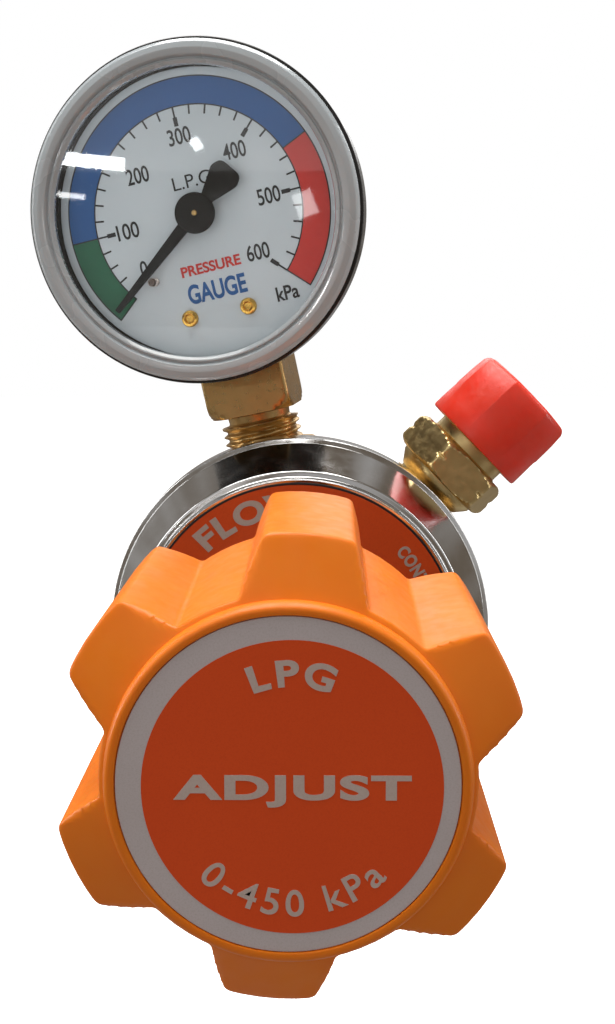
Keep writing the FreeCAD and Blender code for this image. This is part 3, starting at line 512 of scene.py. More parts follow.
def lettering(name, words, height, width, front, matrix, centre=(0, 0), bend=0.0, weight=0.02, thick=0.05,
              spacing=1.0):
    """Raised print, fitted to a cap height and a width. bend is the radius of the arc that it follows:
    above the middle when positive, below it when negative."""
    curve = bpy.data.curves.new(name, "FONT")
    curve.body, curve.offset, curve.align_x = words, weight, "CENTER"
    curve.extrude = 0.02
    curve.space_character = spacing
    holder = bpy.data.objects.new(name, curve)
    scene.collection.objects.link(holder)
    bpy.context.view_layer.update()
    mesh = bpy.data.meshes.new_from_object(holder.evaluated_get(bpy.context.evaluated_depsgraph_get()))
    points = np.array([v.co for v in mesh.vertices], float)
    faces = [list(p.vertices) for p in mesh.polygons]
    bpy.data.objects.remove(holder)
    bpy.data.curves.remove(curve)
    low, high = points.min(0), points.max(0)
    x = (points[:, 0] - (low[0] + high[0]) / 2) * width / (high[0] - low[0])
    z = (points[:, 1] - (low[1] + high[1]) / 2) * height / (high[1] - low[1])
    depth = np.where(points[:, 2] > 0, front - thick, front + 0.02)
    if bend:
        radius, side = abs(bend) + z * math.copysign(1, bend), math.copysign(1, bend)
        x, z = radius * np.sin(x / abs(bend)), side * radius * np.cos(x / abs(bend))
    verts = np.column_stack((x + centre[0], depth, z + centre[1]))
    bpy.data.meshes.remove(mesh)
    return new_object(name, verts, faces, matrix, sharp_angle=20)


# ---- knob -----------------------------------------------------------------------------------------
LOBES = 6
LOBE_STEP = 360 / LOBES
TOP_LOBE_TILT = 5.0
KNOB_FACE_Y = KNOB_LOW.y
KNOB_LENGTH = KNOB_HIGH.y - KNOB_LOW.y
BEVEL_DEPTH = 4.9
LIP_R, LIP_DEPTH = 20.05, 1.5


def star(lobe_r, valley_r, half_top, half_foot, soft=1.0):
    """(x, z) outline of the six-lobed knob, always with the same number of points."""
    outline = []
    for k in range(LOBES):
        middle = TOP_LOBE_TILT + k * LOBE_STEP
        corners = []

        def corner(angle, radius, fillet=0.0):
            a = math.radians(middle + angle)
            corners.append((radius * math.sin(a), radius * math.cos(a), fillet * soft))

        corner(-half_foot, valley_r, 1.6)
        for t in (0.2, 0.4, 0.6, 0.8):
            reach = valley_r + (lobe_r - valley_r) * t
            corner(-half_foot + (half_foot - half_top) * t, reach)
        corner(-half_top, lobe_r, 0.9)
        for t in (-0.6, -0.2, 0.2, 0.6):
            corner(half_top * t, lobe_r)
        corner(half_top, lobe_r, 0.9)
        for t in (0.8, 0.6, 0.4, 0.2):
            reach = valley_r + (lobe_r - valley_r) * t
            corner(half_foot - (half_foot - half_top) * t, reach)
        corner(half_foot, valley_r, 1.6)
        gap = LOBE_STEP - 2 * half_foot
        for t in (0.15, 0.38, 0.62, 0.85):
            corner(half_foot + gap * t, valley_r)
        for i, (x, z, fillet) in enumerate(corners):
            if fillet:
                here = Vector((x, z))
                before = Vector(corners[i - 1][:2]) if i else here + (here - Vector(corners[1][:2]))
                if i == 0:
                    a = math.radians(middle - half_foot - gap * 0.15)
                    before = Vector((valley_r * math.sin(a), valley_r * math.cos(a)))
                after = Vector(corners[i + 1][:2])
                first = here + (before - here).normalized() * min(fillet, 0.45 * (before - here).length)
                last = here + (after - here).normalized() * min(fillet, 0.45 * (after - here).length)
                for j in range(5):
                    t = j / 4
                    outline.append(tuple(first * (1 - t) ** 2 + here * 2 * t * (1 - t) + last * t ** 2))
            else:
                outline.append((x, z))
    return np.array(outline)


def star_ring(outline, y, limit=None, blend=0.9):
    """The outline at a depth, held inside a limiting radius."""
    if limit is not None:
        radius = np.hypot(outline[:, 0], outline[:, 1])
        held = smooth_min(radius, limit, blend) if blend else np.minimum(radius, limit)
        outline = outline * (held / radius)[:, None]
    return np.column_stack((outline[:, 0], np.full(len(outline), y), outline[:, 1]))


def knob_shape():
    """The grip from the label's seat, over the lip and the lobes, and back inside to the boss."""
    back_y = KNOB_FACE_Y + KNOB_LENGTH
    rings = [np.array([(0.0, KNOB_FACE_Y + 0.6, 0.0)])]
    seat_r = LABEL_R + 0.1

    def outer(depth):
        t = depth / KNOB_LENGTH
        return star(LOBE_R - 0.1 * (1 - t), 20.6 + 0.6 * t, 10.7 + 0.8 * t, 19.5)

    for depth, limit in ((0.6, seat_r), (0.2, seat_r), (0.05, seat_r + 0.06), (0.0, seat_r + 0.22)):
        rings.append(star_ring(outer(depth), KNOB_FACE_Y + depth, limit, 0.0))
    lip_inner_r = seat_r + 0.55
    for turn in np.linspace(0, math.pi / 2, 9):
        depth = LIP_DEPTH * (1 - math.cos(turn))
        limit = lip_inner_r + (LIP_R - lip_inner_r) * math.sin(turn)
        rings.append(star_ring(outer(depth), KNOB_FACE_Y + depth, limit, 0.0))
    for step in np.linspace(0.02, 1, 20):
        depth = LIP_DEPTH + (BEVEL_DEPTH - LIP_DEPTH) * step
        limit = LIP_R + (LOBE_R + 0.35 - LIP_R) * step
        rings.append(star_ring(outer(depth), KNOB_FACE_Y + depth, limit, 0.5))
    for depth in np.linspace(BEVEL_DEPTH + 0.5, KNOB_LENGTH - 0.7, 14):
        rings.append(star_ring(outer(depth), KNOB_FACE_Y + depth))
    edge = outer(KNOB_LENGTH)
    for back, inward in ((0.35, 0.03), (0.12, 0.14), (0.0, 0.35)):
        radius = np.hypot(edge[:, 0], edge[:, 1])
        rings.append(star_ring(edge * ((radius - inward) / radius)[:, None], back_y - back))
    inner = star(LOBE_R - 2.4, 18.5, 5.5, 13.0, 0.6)
    web, boss_r, boss_end = 4.5, 10.5, 12.5
    radius = np.hypot(inner[:, 0], inner[:, 1])
    for back, outward in ((0.0, 0.3), (0.3, 0.0)):
        rings.append(star_ring(inner * ((radius + outward) / radius)[:, None], back_y - back))
    for depth in np.linspace(KNOB_LENGTH - 2, web + 5.5, 8):
        limit = 18.0 + (LOBE_R - 18.0) * min(1, (depth - web) / 4.8)
        rings.append(star_ring(inner, KNOB_FACE_Y + depth, limit, 0.0))
    for depth, limit in ((web + 2.4, 20.6), (web + 0.8, 18.4), (web, 17.6)):
        rings.append(star_ring(inner, KNOB_FACE_Y + depth, limit, 0.0))
    for depth, limit in ((web, boss_r + 0.8), (web + 0.8, boss_r), (boss_end - 0.3, boss_r),
                         (boss_end, boss_r - 0.3), (boss_end, 9.3), (boss_end - 1.0, 9.3)):
        rings.append(star_ring(inner, KNOB_FACE_Y + depth, limit, 0.0))
    rings.append(np.array([(0.0, KNOB_FACE_Y + boss_end - 1.0, 0.0)]))
    verts, faces = skin(rings)
    return new_object("knob_grip", verts, faces, sharp_angle=50)


ORANGE = knob_plastic()
GREY_INK = srgb(208, 198, 200)
LABEL_ORANGE = srgb(234, 82, 24)
fit(knob_shape(), "knob", "knob", ORANGE)

LABEL_FRONT = LABEL_LOW.y
PRINT = 0.04
label_grey = label_ink("label_grey", GREY_INK, srgb(184, 174, 170))
label_orange = label_ink("label_orange", LABEL_ORANGE, srgb(222, 72, 20))
label_letters = label_ink("label_letters", srgb(206, 188, 180), srgb(190, 166, 156))
disc = turned("knob_label_ring", [(LABEL_FRONT, 0, 0), (LABEL_FRONT, LABEL_R, 0.1),
                                  (LABEL_HIGH.y, LABEL_R, 0), (LABEL_HIGH.y, 0, 0)], count=160)
fit(disc, "knob", "knob_label", label_grey)
DISC_OFFSET = (0.45, 0, -0.2)
DISC_R = 16.2
knob_print = local(AXIS_FRAME, DISC_OFFSET)
fit(turned("knob_label_disc", [(LABEL_FRONT - PRINT, 0, 0), (LABEL_FRONT - PRINT, DISC_R, 0),
                               (LABEL_FRONT + 0.02, DISC_R, 0), (LABEL_FRONT + 0.02, 0, 0)],
           knob_print, count=160),
    "knob", None, label_orange)
INK = LABEL_FRONT - PRINT
for name, words, height, width, centre, bend, weight, spacing in (
        ("knob_word", "ADJUST", 3.6, 25.5, (0, -0.3), 0, 0.04, 1.12),
        ("knob_word_gas", "LPG", 3.0, 9.3, (0, 0), 12.6, 0.035, 1.3),
        ("knob_word_range", "0-450 kPa", 3.0, 20.5, (0, 0), -12.8, 0.012, 1.2)):
    fit(lettering(name, words, height, width, INK, knob_print, centre, bend, weight, spacing=spacing),
        "knob", None, label_letters)

# ---- bonnet ---------------------------------------------------------------------------------------
LAND_Y = RING_HIGH.y
LAND_R, CONE_IN, CONE_OUT = 25.2, 26.1, 29.7
NECK_R = 13.8
CONE_FRONT_Y, CONE_BACK_Y = -67.5, -60.3
CHROME = chrome()
bonnet = turned("bonnet_shell", [
    (BONNET_HIGH.y, BONNET_R - 0.4, 0.1), (BONNET_HIGH.y - 0.4, BONNET_R, 0.3),
    (CONE_BACK_Y + 0.5, BONNET_R, 0.4), (CONE_BACK_Y, CONE_OUT, 0.25),
    (CONE_FRONT_Y + 0.1, CONE_IN, 0.5), (CONE_FRONT_Y, LAND_R + 0.1, 0.25),
    (LAND_Y, LAND_R - 0.2, 0.1), (LAND_Y, NECK_R + 1.2, 1.0), (LAND_Y - 2.5, NECK_R, 0.8),
    (BONNET_LOW.y + 1.0, NECK_R, 0.3), (BONNET_LOW.y, NECK_R - 1.0, 0.3), (BONNET_LOW.y, 6.1, 0.3),
    (BONNET_LOW.y + 4.5, 6.1, 0), (BONNET_LOW.y + 4.5, 11.4, 0), (-66.8, 11.4, 0), (-62.8, 20.8, 0),
    (-61.5, 21.0, 0), (-61.5, 26.85, 0), (BONNET_HIGH.y, 26.85, 0)], count=192)
fit(bonnet, "regulator_body", "bonnet", CHROME)
ring_orange = label_ink("ring_orange", srgb(214, 78, 22), srgb(196, 66, 18))
# Near-black film under the orange band: the strips of it left showing at the label's inner and outer edges are
# painted shadow of the groove round the label.
ring_edge_painted_shade = label_ink("ring_edge_painted_shade", srgb(34, 30, 30), srgb(48, 42, 40))
ring_letters = label_ink("ring_letters", srgb(186, 170, 160), srgb(160, 146, 138))
ring_front = RING_LOW.y
fit(turned("bonnet_label_film", [(ring_front, 15.7, 0.1), (ring_front, RING_R, 0.1), (LAND_Y, RING_R, 0),
                                 (LAND_Y, 15.7, 0)], count=192),
    "regulator_body", "bonnet_label", ring_edge_painted_shade)
BAND_LOW_R, BAND_HIGH_R = 16.4, RING_R - 0.35
fit(turned("bonnet_label_band", [(ring_front - 0.03, BAND_LOW_R, 0), (ring_front - 0.03, BAND_HIGH_R, 0),
                                 (ring_front + 0.02, BAND_HIGH_R, 0), (ring_front + 0.02, BAND_LOW_R, 0)],
           count=192),
    "regulator_body", None, ring_orange)
RING_TEXT_R = 21.3
for name, words, height, width, angle in (
        ("ring_word_large", "FLOW", 3.7, 18.5, -20), ("ring_word_small", "CONTROL", 2.1, 11.0, 62),
        ("ring_word_low", "LPG", 3.4, 9.0, 180)):
    fit(lettering(name, words, height, width, ring_front - 0.03, local(AXIS_FRAME, turn=angle), (0, 0),
                  RING_TEXT_R, 0.04, spacing=1.15), "regulator_body", None, ring_letters)

# ---- gauge ----------------------------------------------------------------------------------------
CASE_R, CASE_BACK, CASE_WALL = 26.5, 27.0, 0.8
DIAL_FRONT, DIAL_R = 4.7, 22.4
ENAMEL = enamel()
MOUTH_R = CASE_R - CASE_WALL
case = turned("gauge_shell", [
    (CASE_BACK - CASE_WALL, 0, 0), (CASE_BACK - CASE_WALL, MOUTH_R - 6.9, 0.6), (25.0, MOUTH_R - 3.8, 0.8),
    (22.6, MOUTH_R - 2.75, 1.0), (5.5, MOUTH_R - 1.3, 0.2), (5.5, MOUTH_R, 0), (1.6, MOUTH_R, 0.1),
    (1.6, CASE_R, 0.3), (5.6, CASE_R, 0.5), (6.4, CASE_R - 1.3, 0.4), (23.0, CASE_R - 2.8, 1.2),
    (25.6, CASE_R - 3.9, 1.2), (CASE_BACK, CASE_R - 7.0, 1.2), (CASE_BACK, 0, 0)], GAUGE_FRAME, count=192)
fit(case, "regulator_body", "gauge_case", ENAMEL)

FROST = Surface("lens_frosted_rim", srgb(196, 206, 212), 0.24)
FROST.set(Transmission_Weight=0.1, IOR=1.47, Coat_Weight=1.0, Coat_Roughness=0.05)
FROST.vary_roughness(FROST.noise(9.0, 2.0), 0.20, 0.30)
WINDOW = clear_plastic()
WINDOW_R = 22.3
window = turned("gauge_window", [(0.95, 0, 0), (0.95, WINDOW_R, 0.1), (2.15, WINDOW_R, 0.1), (2.15, 0, 0)],
                GAUGE_FRAME, 160)
window.visible_shadow = False
fit(window, "regulator_body", "gauge_lens", WINDOW)
rim = turned("gauge_lens_rim", [
    (0.95, WINDOW_R, 0.05), (0.55, 22.7, 0.1), (0.5, 22.95, 0.1), (0.9, 23.1, 0.05), (0.9, 23.3, 0.05),
    (0.1, 23.6, 0.2), (0.0, 24.6, 0.5), (0.3, 25.5, 0.4), (0.9, 26.0, 0.25), (1.55, 26.0, 0.1),
    (1.55, 25.6, 0), (4.6, 25.6, 0), (4.6, 24.3, 0), (2.2, 24.3, 0.1), (2.15, WINDOW_R, 0)],
    GAUGE_FRAME, 192)
fit(rim, "regulator_body", None, FROST)

DIAL_ROLL = -1.1
DIAL_FRAME = local(GAUGE_FRAME, turn=DIAL_ROLL)
dial = turned("dial_plate", [(DIAL_FRONT, 1.3, 0.05), (DIAL_FRONT, DIAL_R, 0.1),
                             (DIAL_FRONT + 0.4, DIAL_R, 0.1), (DIAL_FRONT + 0.4, 1.3, 0)], GAUGE_FRAME, 192)
fit(dial, "regulator_body", "dial", dial_white())
INK_BLACK = dial_ink("ink_black", srgb(24, 25, 28))
INK_BLUE = dial_ink("ink_blue", srgb(6, 84, 150))
INK_GREEN = dial_ink("ink_green", srgb(10, 98, 66))
INK_RED = dial_ink("ink_red", srgb(206, 44, 34))
ZERO_ANGLE, DEGREES_PER_KPA = 225.0, 0.45
BAND_IN, BAND_OUT = 16.85, 21.05
FILM = DIAL_FRONT - 0.03


def dial_angle(kpa):
    return ZERO_ANGLE + DEGREES_PER_KPA * kpa


def on_dial(name, outlines, front, ink):
    parts = [plate(f"{name}_{i}", outline, front, DIAL_FRONT + 0.02, DIAL_FRAME)
             for i, outline in enumerate(outlines)]
    piece = joined(name, *parts) if len(parts) > 1 else parts[0]
    piece.name = name
    return fit(piece, "regulator_body", None, ink)


BAND_START = 230.5
for name, start, end, ink in (("dial_band_green", BAND_START, dial_angle(100), INK_GREEN),
                              ("dial_band_blue", dial_angle(100), dial_angle(450), INK_BLUE),
                              ("dial_band_red", dial_angle(450), dial_angle(600), INK_RED)):
    on_dial(name, [sector_outline(BAND_IN, BAND_OUT, start, end)], FILM, ink)
LINE, TICK, BLOCK = 0.2, 0.28, 0.66
lines = [sector_outline(BAND_OUT - LINE / 2, BAND_OUT + LINE / 2, BAND_START, dial_angle(600)),
         sector_outline(BAND_IN - LINE, BAND_IN, BAND_START, dial_angle(600))]
lines += [bar_outline(a, BAND_IN - LINE, BAND_OUT + LINE / 2, LINE)
          for a in (BAND_START, dial_angle(100), dial_angle(450), dial_angle(600))]
for kpa in range(40, 600, 20):
    if kpa % 100:
        lines.append(bar_outline(dial_angle(kpa), BAND_IN - 1.55, BAND_IN - LINE, TICK))
for kpa in range(100, 601, 100):
    lines.append(bar_outline(dial_angle(kpa), BAND_IN - 2.0, BAND_IN - LINE, TICK))
    lines.append(bar_outline(dial_angle(kpa), BAND_IN - 3.1, BAND_IN - 1.7, BLOCK))
on_dial("dial_scale", lines, FILM - 0.02, INK_BLACK)

NUMERAL_HEIGHT, DIGIT_WIDTH, NUMERAL_R = 2.55, 1.22, 13.5
ZERO_NUMERAL_ANGLE = 239.0
for kpa in range(0, 601, 100):
    words = str(kpa)
    width = DIGIT_WIDTH * len(words)
    angle = math.radians(dial_angle(kpa) if kpa else ZERO_NUMERAL_ANGLE)
    reach = NUMERAL_R - (abs(math.sin(angle)) * width + abs(math.cos(angle)) * NUMERAL_HEIGHT) / 2
    place = (reach * math.sin(angle), reach * math.cos(angle))
    piece = lettering(f"dial_numeral_{kpa}", words, NUMERAL_HEIGHT, width, FILM + 0.03, DIAL_FRAME, place,
                      weight=0.012)
    fit(piece, "regulator_body", None, INK_BLACK)
for name, words, height, width, place, ink, weight in (
        ("dial_unit", "kPa", 2.3, 3.6, (11.1, -15.2), INK_BLACK, 0.02),
        ("dial_gas", "L.P.G", 2.1, 6.2, (0.3, 5.2), INK_BLACK, 0.0),
        ("dial_note", "PRESSURE", 1.7, 9.8, (0.1, -8.4), INK_RED, 0.03),
        ("dial_word", "GAUGE", 3.1, 9.6, (0.25, -12.1), INK_BLUE, 0.03)):
    piece = lettering(name, words, height, width, FILM + 0.03, DIAL_FRAME, place, weight=weight)
    fit(piece, "regulator_body", None, ink)

GOLD = brass("gilt_brass", (222, 176, 84), (0.18, 0.32))
SCREW_ANGLES, SCREW_R = (163.0, 197.0), 16.5
screws = []
for i, angle in enumerate(SCREW_ANGLES):
    a = math.radians(angle)
    place = local(GAUGE_FRAME, (SCREW_R * math.sin(a), 0, SCREW_R * math.cos(a)))
    screws.append(turned(f"dial_rivet_{i}", [
        (DIAL_FRONT - 0.35, 0, 0), (DIAL_FRONT - 0.35, 0.55, 0.1), (DIAL_FRONT - 0.7, 0.8, 0.1),
        (DIAL_FRONT - 0.6, 1.2, 0.15), (DIAL_FRONT - 0.1, 1.35, 0.1), (DIAL_FRONT, 1.35, 0),
        (DIAL_FRONT, 0.7, 0), (DIAL_FRONT + 1.6, 0.7, 0), (DIAL_FRONT + 1.6, 0, 0)], place, 48))
fit(joined("dial_rivets", *screws), "regulator_body", "dial_screws", GOLD)

STOP_ANGLE, STOP_R = math.radians(225.2), 12.8
stop_place = local(GAUGE_FRAME, (STOP_R * math.sin(STOP_ANGLE), 0, STOP_R * math.cos(STOP_ANGLE)))
amber = clear_plastic("stop_pin_clear", (236, 214, 200), 0.06)
fit(turned("stop_peg", [(2.27, 0, 0), (2.27, 0.45, 0.3), (2.6, 0.66, 0.2), (DIAL_FRONT, 0.66, 0),
                        (DIAL_FRONT, 0, 0)], stop_place, 40),
    "regulator_body", "stop_pin", amber)

POINTER_REST, POINTER_FRONT, POINTER_BACK, TIP_R = 232.0, 2.75, 3.2, 20.0
POINTER_FRAME = local(GAUGE_FRAME, turn=POINTER_REST)
blade = plate("pointer_blade", soft_outline([
    (-0.42, TIP_R, 0.2), (0.42, TIP_R, 0.2), (0.95, 2.9, 0), (1.05, -3.0, 0.8), (2.6, -7.3, 1.2),
    (2.0, -9.0, 1.3), (-2.0, -9.0, 1.3), (-2.6, -7.3, 1.2), (-1.05, -3.0, 0.8), (-0.95, 2.9, 0)]),
    POINTER_FRONT, POINTER_BACK, POINTER_FRAME, bevel=0.05)
hub = turned("pointer_hub", [
    (POINTER_FRONT - 0.15, 0.45, 0), (POINTER_FRONT - 0.15, 2.9, 0.15), (POINTER_FRONT, 3.2, 0.1),
    (POINTER_BACK, 3.2, 0.1), (POINTER_BACK, 1.4, 0.1), (POINTER_BACK + 0.9, 1.2, 0.1),
    (POINTER_BACK + 0.9, 0.45, 0)], POINTER_FRAME, 64)
fit(joined("pointer_hand", blade, hub), "pointer", "pointer", pointer_paint())

# ---- gauge shank ----------------------------------------------------------------------------------
BRASS = brass()
BRASS_RINGED = brass("turned_brass", rings=0.35)
STEM_DEPTH, SHANK_HALF = 16.8, 7.0
STEM_FRAME = local(GAUGE_FRAME, (0, STEM_DEPTH, 0)) @ Matrix.Rotation(math.radians(-90), 4, "X")


def square_radius(angles, half, corner):
    """Radius of a square with rounded corners."""
    c, s = np.abs(np.cos(angles)), np.abs(np.sin(angles))
    return np.minimum(half / np.maximum(c, s), corner)


def shank_shape():
    """Square shank with a turned chamfer, neck and thread; its y runs down from the gauge's middle."""
    angles = even_angles(240)
    rings = []
    top = 22.0
    for y, limit in ((top, 9.6), (30.6, 9.6), (31.2, 9.55), (31.9, 9.2), (32.5, 8.7), (33.0, 8.1),
                     (33.1, 7.9)):
        rings.append(ring(y, square_radius(angles, SHANK_HALF - 0.15 * (y > 33.05), limit), angles))
    for y, r in ((33.1, 6.2), (33.3, 5.3), (34.4, 5.2), (34.7, 5.4)):
        rings.append(ring(y, r, angles))
    rings += thread_rings(angles, 34.9, 50.4, 6.6, 1.34, 0.75)
    rings.append(ring(51.0, 5.9, angles))
    rings.append(ring(51.0, 1.7, angles))
    rings.append(ring(49.0, 1.7, angles))
    rings.append(ring(49.0, 0, angles))
    rings.insert(0, ring(top, 0, angles))
    return skin(rings)


verts, faces = shank_shape()
BLOCK_FRONT, BLOCK_BACK, BLOCK_TOP, BLOCK_HALF = 12.8, 22.2, -9.0, 5.4
tube_block = block("tube_block", (-BLOCK_HALF, BLOCK_FRONT, -22.5), (BLOCK_HALF, BLOCK_BACK, BLOCK_TOP),
                   GAUGE_FRAME)
shank = joined("gauge_shank", new_object("gauge_shank", verts, faces, STEM_FRAME, sharp_angle=35),
               tube_block)
fit(shank, "regulator_body", "gauge_socket", BRASS)

# ---- outlet ---------------------------------------------------------------------------------------
HEX_START, HEX_END, HEX_AF, HEX_TURN = OUTLET_END - 18.7, OUTLET_END - 12.6, 17.0, 37.0
BORE_R, BORE_FLOOR = 3.2, 30
MALE_R, CAP_START, CAP_END, CAP_TURN = 7.9, OUTLET_END - 10.6, OUTLET_END + 1.8, 21.0


def hex_shape():
    """Hexagon with turned chamfers, and V notches across its corners for a left-hand thread."""
    angles = hex_angles(HEX_TURN, 72)
    base = hex_radius(angles, HEX_AF, HEX_TURN, 0.2)
    corner = HEX_AF / math.sqrt(3)
    middle = (HEX_START + HEX_END) / 2
    notch_half, notch_depth = 0.6, 0.6
    rings = []
    ends = np.array((0, 0.15, 0.35, 0.6, 0.85, 1.1))
    notch_steps = middle + notch_half * np.array((-1, -0.5, -0.1, 0.1, 0.5, 1))
    for y in np.concatenate([HEX_START + ends, notch_steps, HEX_END - ends[::-1]]):
        edge = min(y - HEX_START, HEX_END - y) / ends[-1]
        chamfer = corner - 0.08 - 1.5 * max(0.0, 1.0 - edge) ** 1.5
        notch = corner - notch_depth * max(0.0, 1.0 - abs(y - middle) / notch_half)
        rings.append(ring(y, np.minimum(base, min(chamfer, notch)), angles))
    return rings, angles


def outlet_shape():
    rings, angles = hex_shape()
    low = thread_rings(angles, 17.6, HEX_START - 3.0, 6.4, 1.34, 0.65)
    for y, r in ((-2.9, 5.8), (-2.5, 5.8), (-2.3, 6.1), (-0.5, 7.5), (0, 7.6)):
        low.append(ring(HEX_START + y, r, angles))
    high = [ring(HEX_END + y, r, angles) for y, r in ((0, 7.0), (0.25, 6.75), (1.9, 6.75))]
    high += thread_rings(angles, CAP_START + 0.2, OUTLET_END - 0.8, MALE_R, 1.41, 0.75, hand=-1)
    high += [ring(OUTLET_END, 7.1, angles), ring(OUTLET_END, 5.2, angles),
             ring(OUTLET_END - 3.2, BORE_R, angles), ring(BORE_FLOOR, BORE_R, angles),
             ring(BORE_FLOOR, 0, angles)]
    low.insert(0, ring(17.6, 0, angles))
    return skin(low + rings + high)


verts, faces = outlet_shape()
fit(new_object("outlet_fitting", verts, faces, OUTLET_FRAME, sharp_angle=30),
    "regulator_body", "outlet_connector", brass("fitting_brass", (222, 198, 142), (0.30, 0.42)))


def cap_shape():
    """Soft cap: round at its open end, with eight flats that fade in towards its far end."""
    eighth = FULL / 8
    steps = np.concatenate([[0, 0.02, 0.05], np.linspace(0.1, 0.9, 13), [0.95, 0.98]])
    angles = np.concatenate([math.radians(CAP_TURN) + eighth * (k + steps) for k in range(8)])
    polygon = math.cos(eighth / 2) / np.cos((angles - math.radians(CAP_TURN)) % eighth - eighth / 2)
    outer = [(CAP_START + 0.1, 8.9, 0), (CAP_START, 9.1, 0), (CAP_START + 0.1, 9.3, 0),
             (CAP_START + 0.4, 9.42, 0), (CAP_START + 3.0, 9.44, 0.1),
             (CAP_START + 5.0, 9.5, 0.3), (CAP_START + 5.6, 9.66, 0.45),
             (CAP_END - 3.5, 9.6, 0.5), (CAP_END - 1.0, 9.4, 0.5), (CAP_END - 0.5, 9.15, 0.5),
             (CAP_END - 0.15, 8.8, 0.5), (CAP_END, 8.4, 0.5), (CAP_END, 7.2, 0)]
    rings = [ring(CAP_END - 1.3, 0, angles), ring(CAP_END - 1.3, 8.25, angles),
             ring(CAP_START + 0.3, 8.3, angles)]
    for y, r, flat in outer:
        rings.append(ring(y, r * (1 - flat * (1 - polygon)), angles))
    rings += [ring(CAP_END - 0.25, 6.6, angles), ring(CAP_END - 0.3, 0, angles)]
    return skin(rings)


verts, faces = cap_shape()
fit(new_object("outlet_cover", verts, faces, OUTLET_FRAME, sharp_angle=35), "outlet_cap", "outlet_cap",
    cap_plastic())


# ---- inlet nut ------------------------------------------------------------------------------------
NUT_AF, NUT_TURN, NUT_BORE_R = 28.0, 30, 6.06


def nut_shape():
    """Hexagon with V notches across its corners, a left-hand male thread and a stepped bore."""
    front, back, seat_y = NUT_LOW.y, NUT_HIGH.y, -7.5
    angles = hex_angles(NUT_TURN, 72)
    base = hex_radius(angles, NUT_AF, NUT_TURN, 0.25)
    corner = NUT_AF / math.sqrt(3)
    rings = [ring(front, NUT_BORE_R, angles), ring(front, 11.0, angles)]
    for y in np.linspace(front, seat_y, 19):
        edge = min(y - front, seat_y - y)
        notch = 1.1 * max(0.0, 1 - abs(y - (front + seat_y) / 2) / 1.1)
        limit = corner - 0.08 - 1.9 * max(0.0, 1 - edge / 1.2) - notch
        rings.append(ring(y, np.minimum(base, limit), angles))
    rings += [ring(seat_y, 11.0, angles), ring(seat_y + 0.4, 10.3, angles)]
    rings += thread_rings(angles, seat_y + 0.6, back - 0.6, 11.2, 1.81, 0.95, hand=-1)
    rings += [ring(back, 10.1, angles), ring(back, 9.0, angles), ring(-0.8, 9.0, angles),
              ring(-2.4, NUT_BORE_R, angles), ring(front, NUT_BORE_R, angles)]
    return skin(rings)


verts, faces = nut_shape()
fit(new_object("inlet_nut_body", verts, faces, AXIS_FRAME, sharp_angle=30),
    "inlet_nut", "inlet_nut", BRASS)

# ---- pieces that keep their CAD mesh --------------------------------------------------------------
STEEL, SPRING, RUBBER = steel(), steel("spring_wire", (96, 98, 104), (0.3, 0.5)), rubber()
SINTER = brass("sintered_bronze", (150, 116, 74), (0.55, 0.8))
SINTER.bump(SINTER.noise(0.18, 2.0), 0.04, 1.0)
CAD_LOOKS = {
    BRASS: ("knob_insert", "diaphragm_pad", "nozzle", "valve_poppet", "spring_retainer", "throttle_screw",
            "pointer_arbor", "sector_gear", "link", "bourdon_tube", "tube_tip", "movement_front_plate",
            "movement_back_plate", "movement_pillars"),
    BRASS_RINGED: ("body", "inlet_stem"),
    STEEL: ("knob_screw", "adjusting_screw", "spring_button", "thrust_ball", "diaphragm_plate",
            "slip_washer", "case_screws"),
    SPRING: ("main_spring", "poppet_spring", "nut_retaining_ring", "hairspring"),
    RUBBER: ("diaphragm", "valve_seat", "stem_o_ring", "nose_o_ring", "blow_out_plug", "lens_gasket"),
    SINTER: ("inlet_filter",),
}
for look, names in CAD_LOOKS.items():
    for name in names:
        look.put(nodes[name])
        mesh = nodes[name].data
        mesh.polygons.foreach_set("use_smooth", [True] * len(mesh.polygons))
        mesh.set_sharp_from_angle(angle=math.radians(32))

# ---- camera ---------------------------------------------------------------------------------------
FOCAL_LENGTH, SENSOR_HEIGHT = 42.21, 36.0
CAMERA_PLACE = Vector((3.65, -250.17, 50.40)) * MM
PITCH_DOWN, YAW, SHIFT_Y = 5.6, 0.7, -0.080
camera_data = bpy.data.cameras.new("camera")
camera = bpy.data.objects.new("camera", camera_data)
scene.collection.objects.link(camera)
camera_data.sensor_fit = "VERTICAL"
camera_data.sensor_height = SENSOR_HEIGHT
camera_data.lens = FOCAL_LENGTH
camera_data.shift_y = SHIFT_Y
camera_data.clip_start, camera_data.clip_end = 0.01, 10
down, yaw = math.radians(PITCH_DOWN), math.radians(YAW)
level = Matrix(((1, 0, 0), (0, 0, -1), (0, 1, 0)))
pitch = Matrix(((1, 0, 0), (0, math.cos(down), -math.sin(down)), (0, math.sin(down), math.cos(down))))
swing = Matrix(((math.cos(yaw), 0, math.sin(yaw)), (0, 1, 0), (-math.sin(yaw), 0, math.cos(yaw))))
rows = swing @ pitch @ level
axes = Matrix((rows[0], -rows[1], -rows[2])).transposed()
camera.matrix_world = Matrix.Translation(CAMERA_PLACE) @ axes.to_4x4()
scene.camera = camera

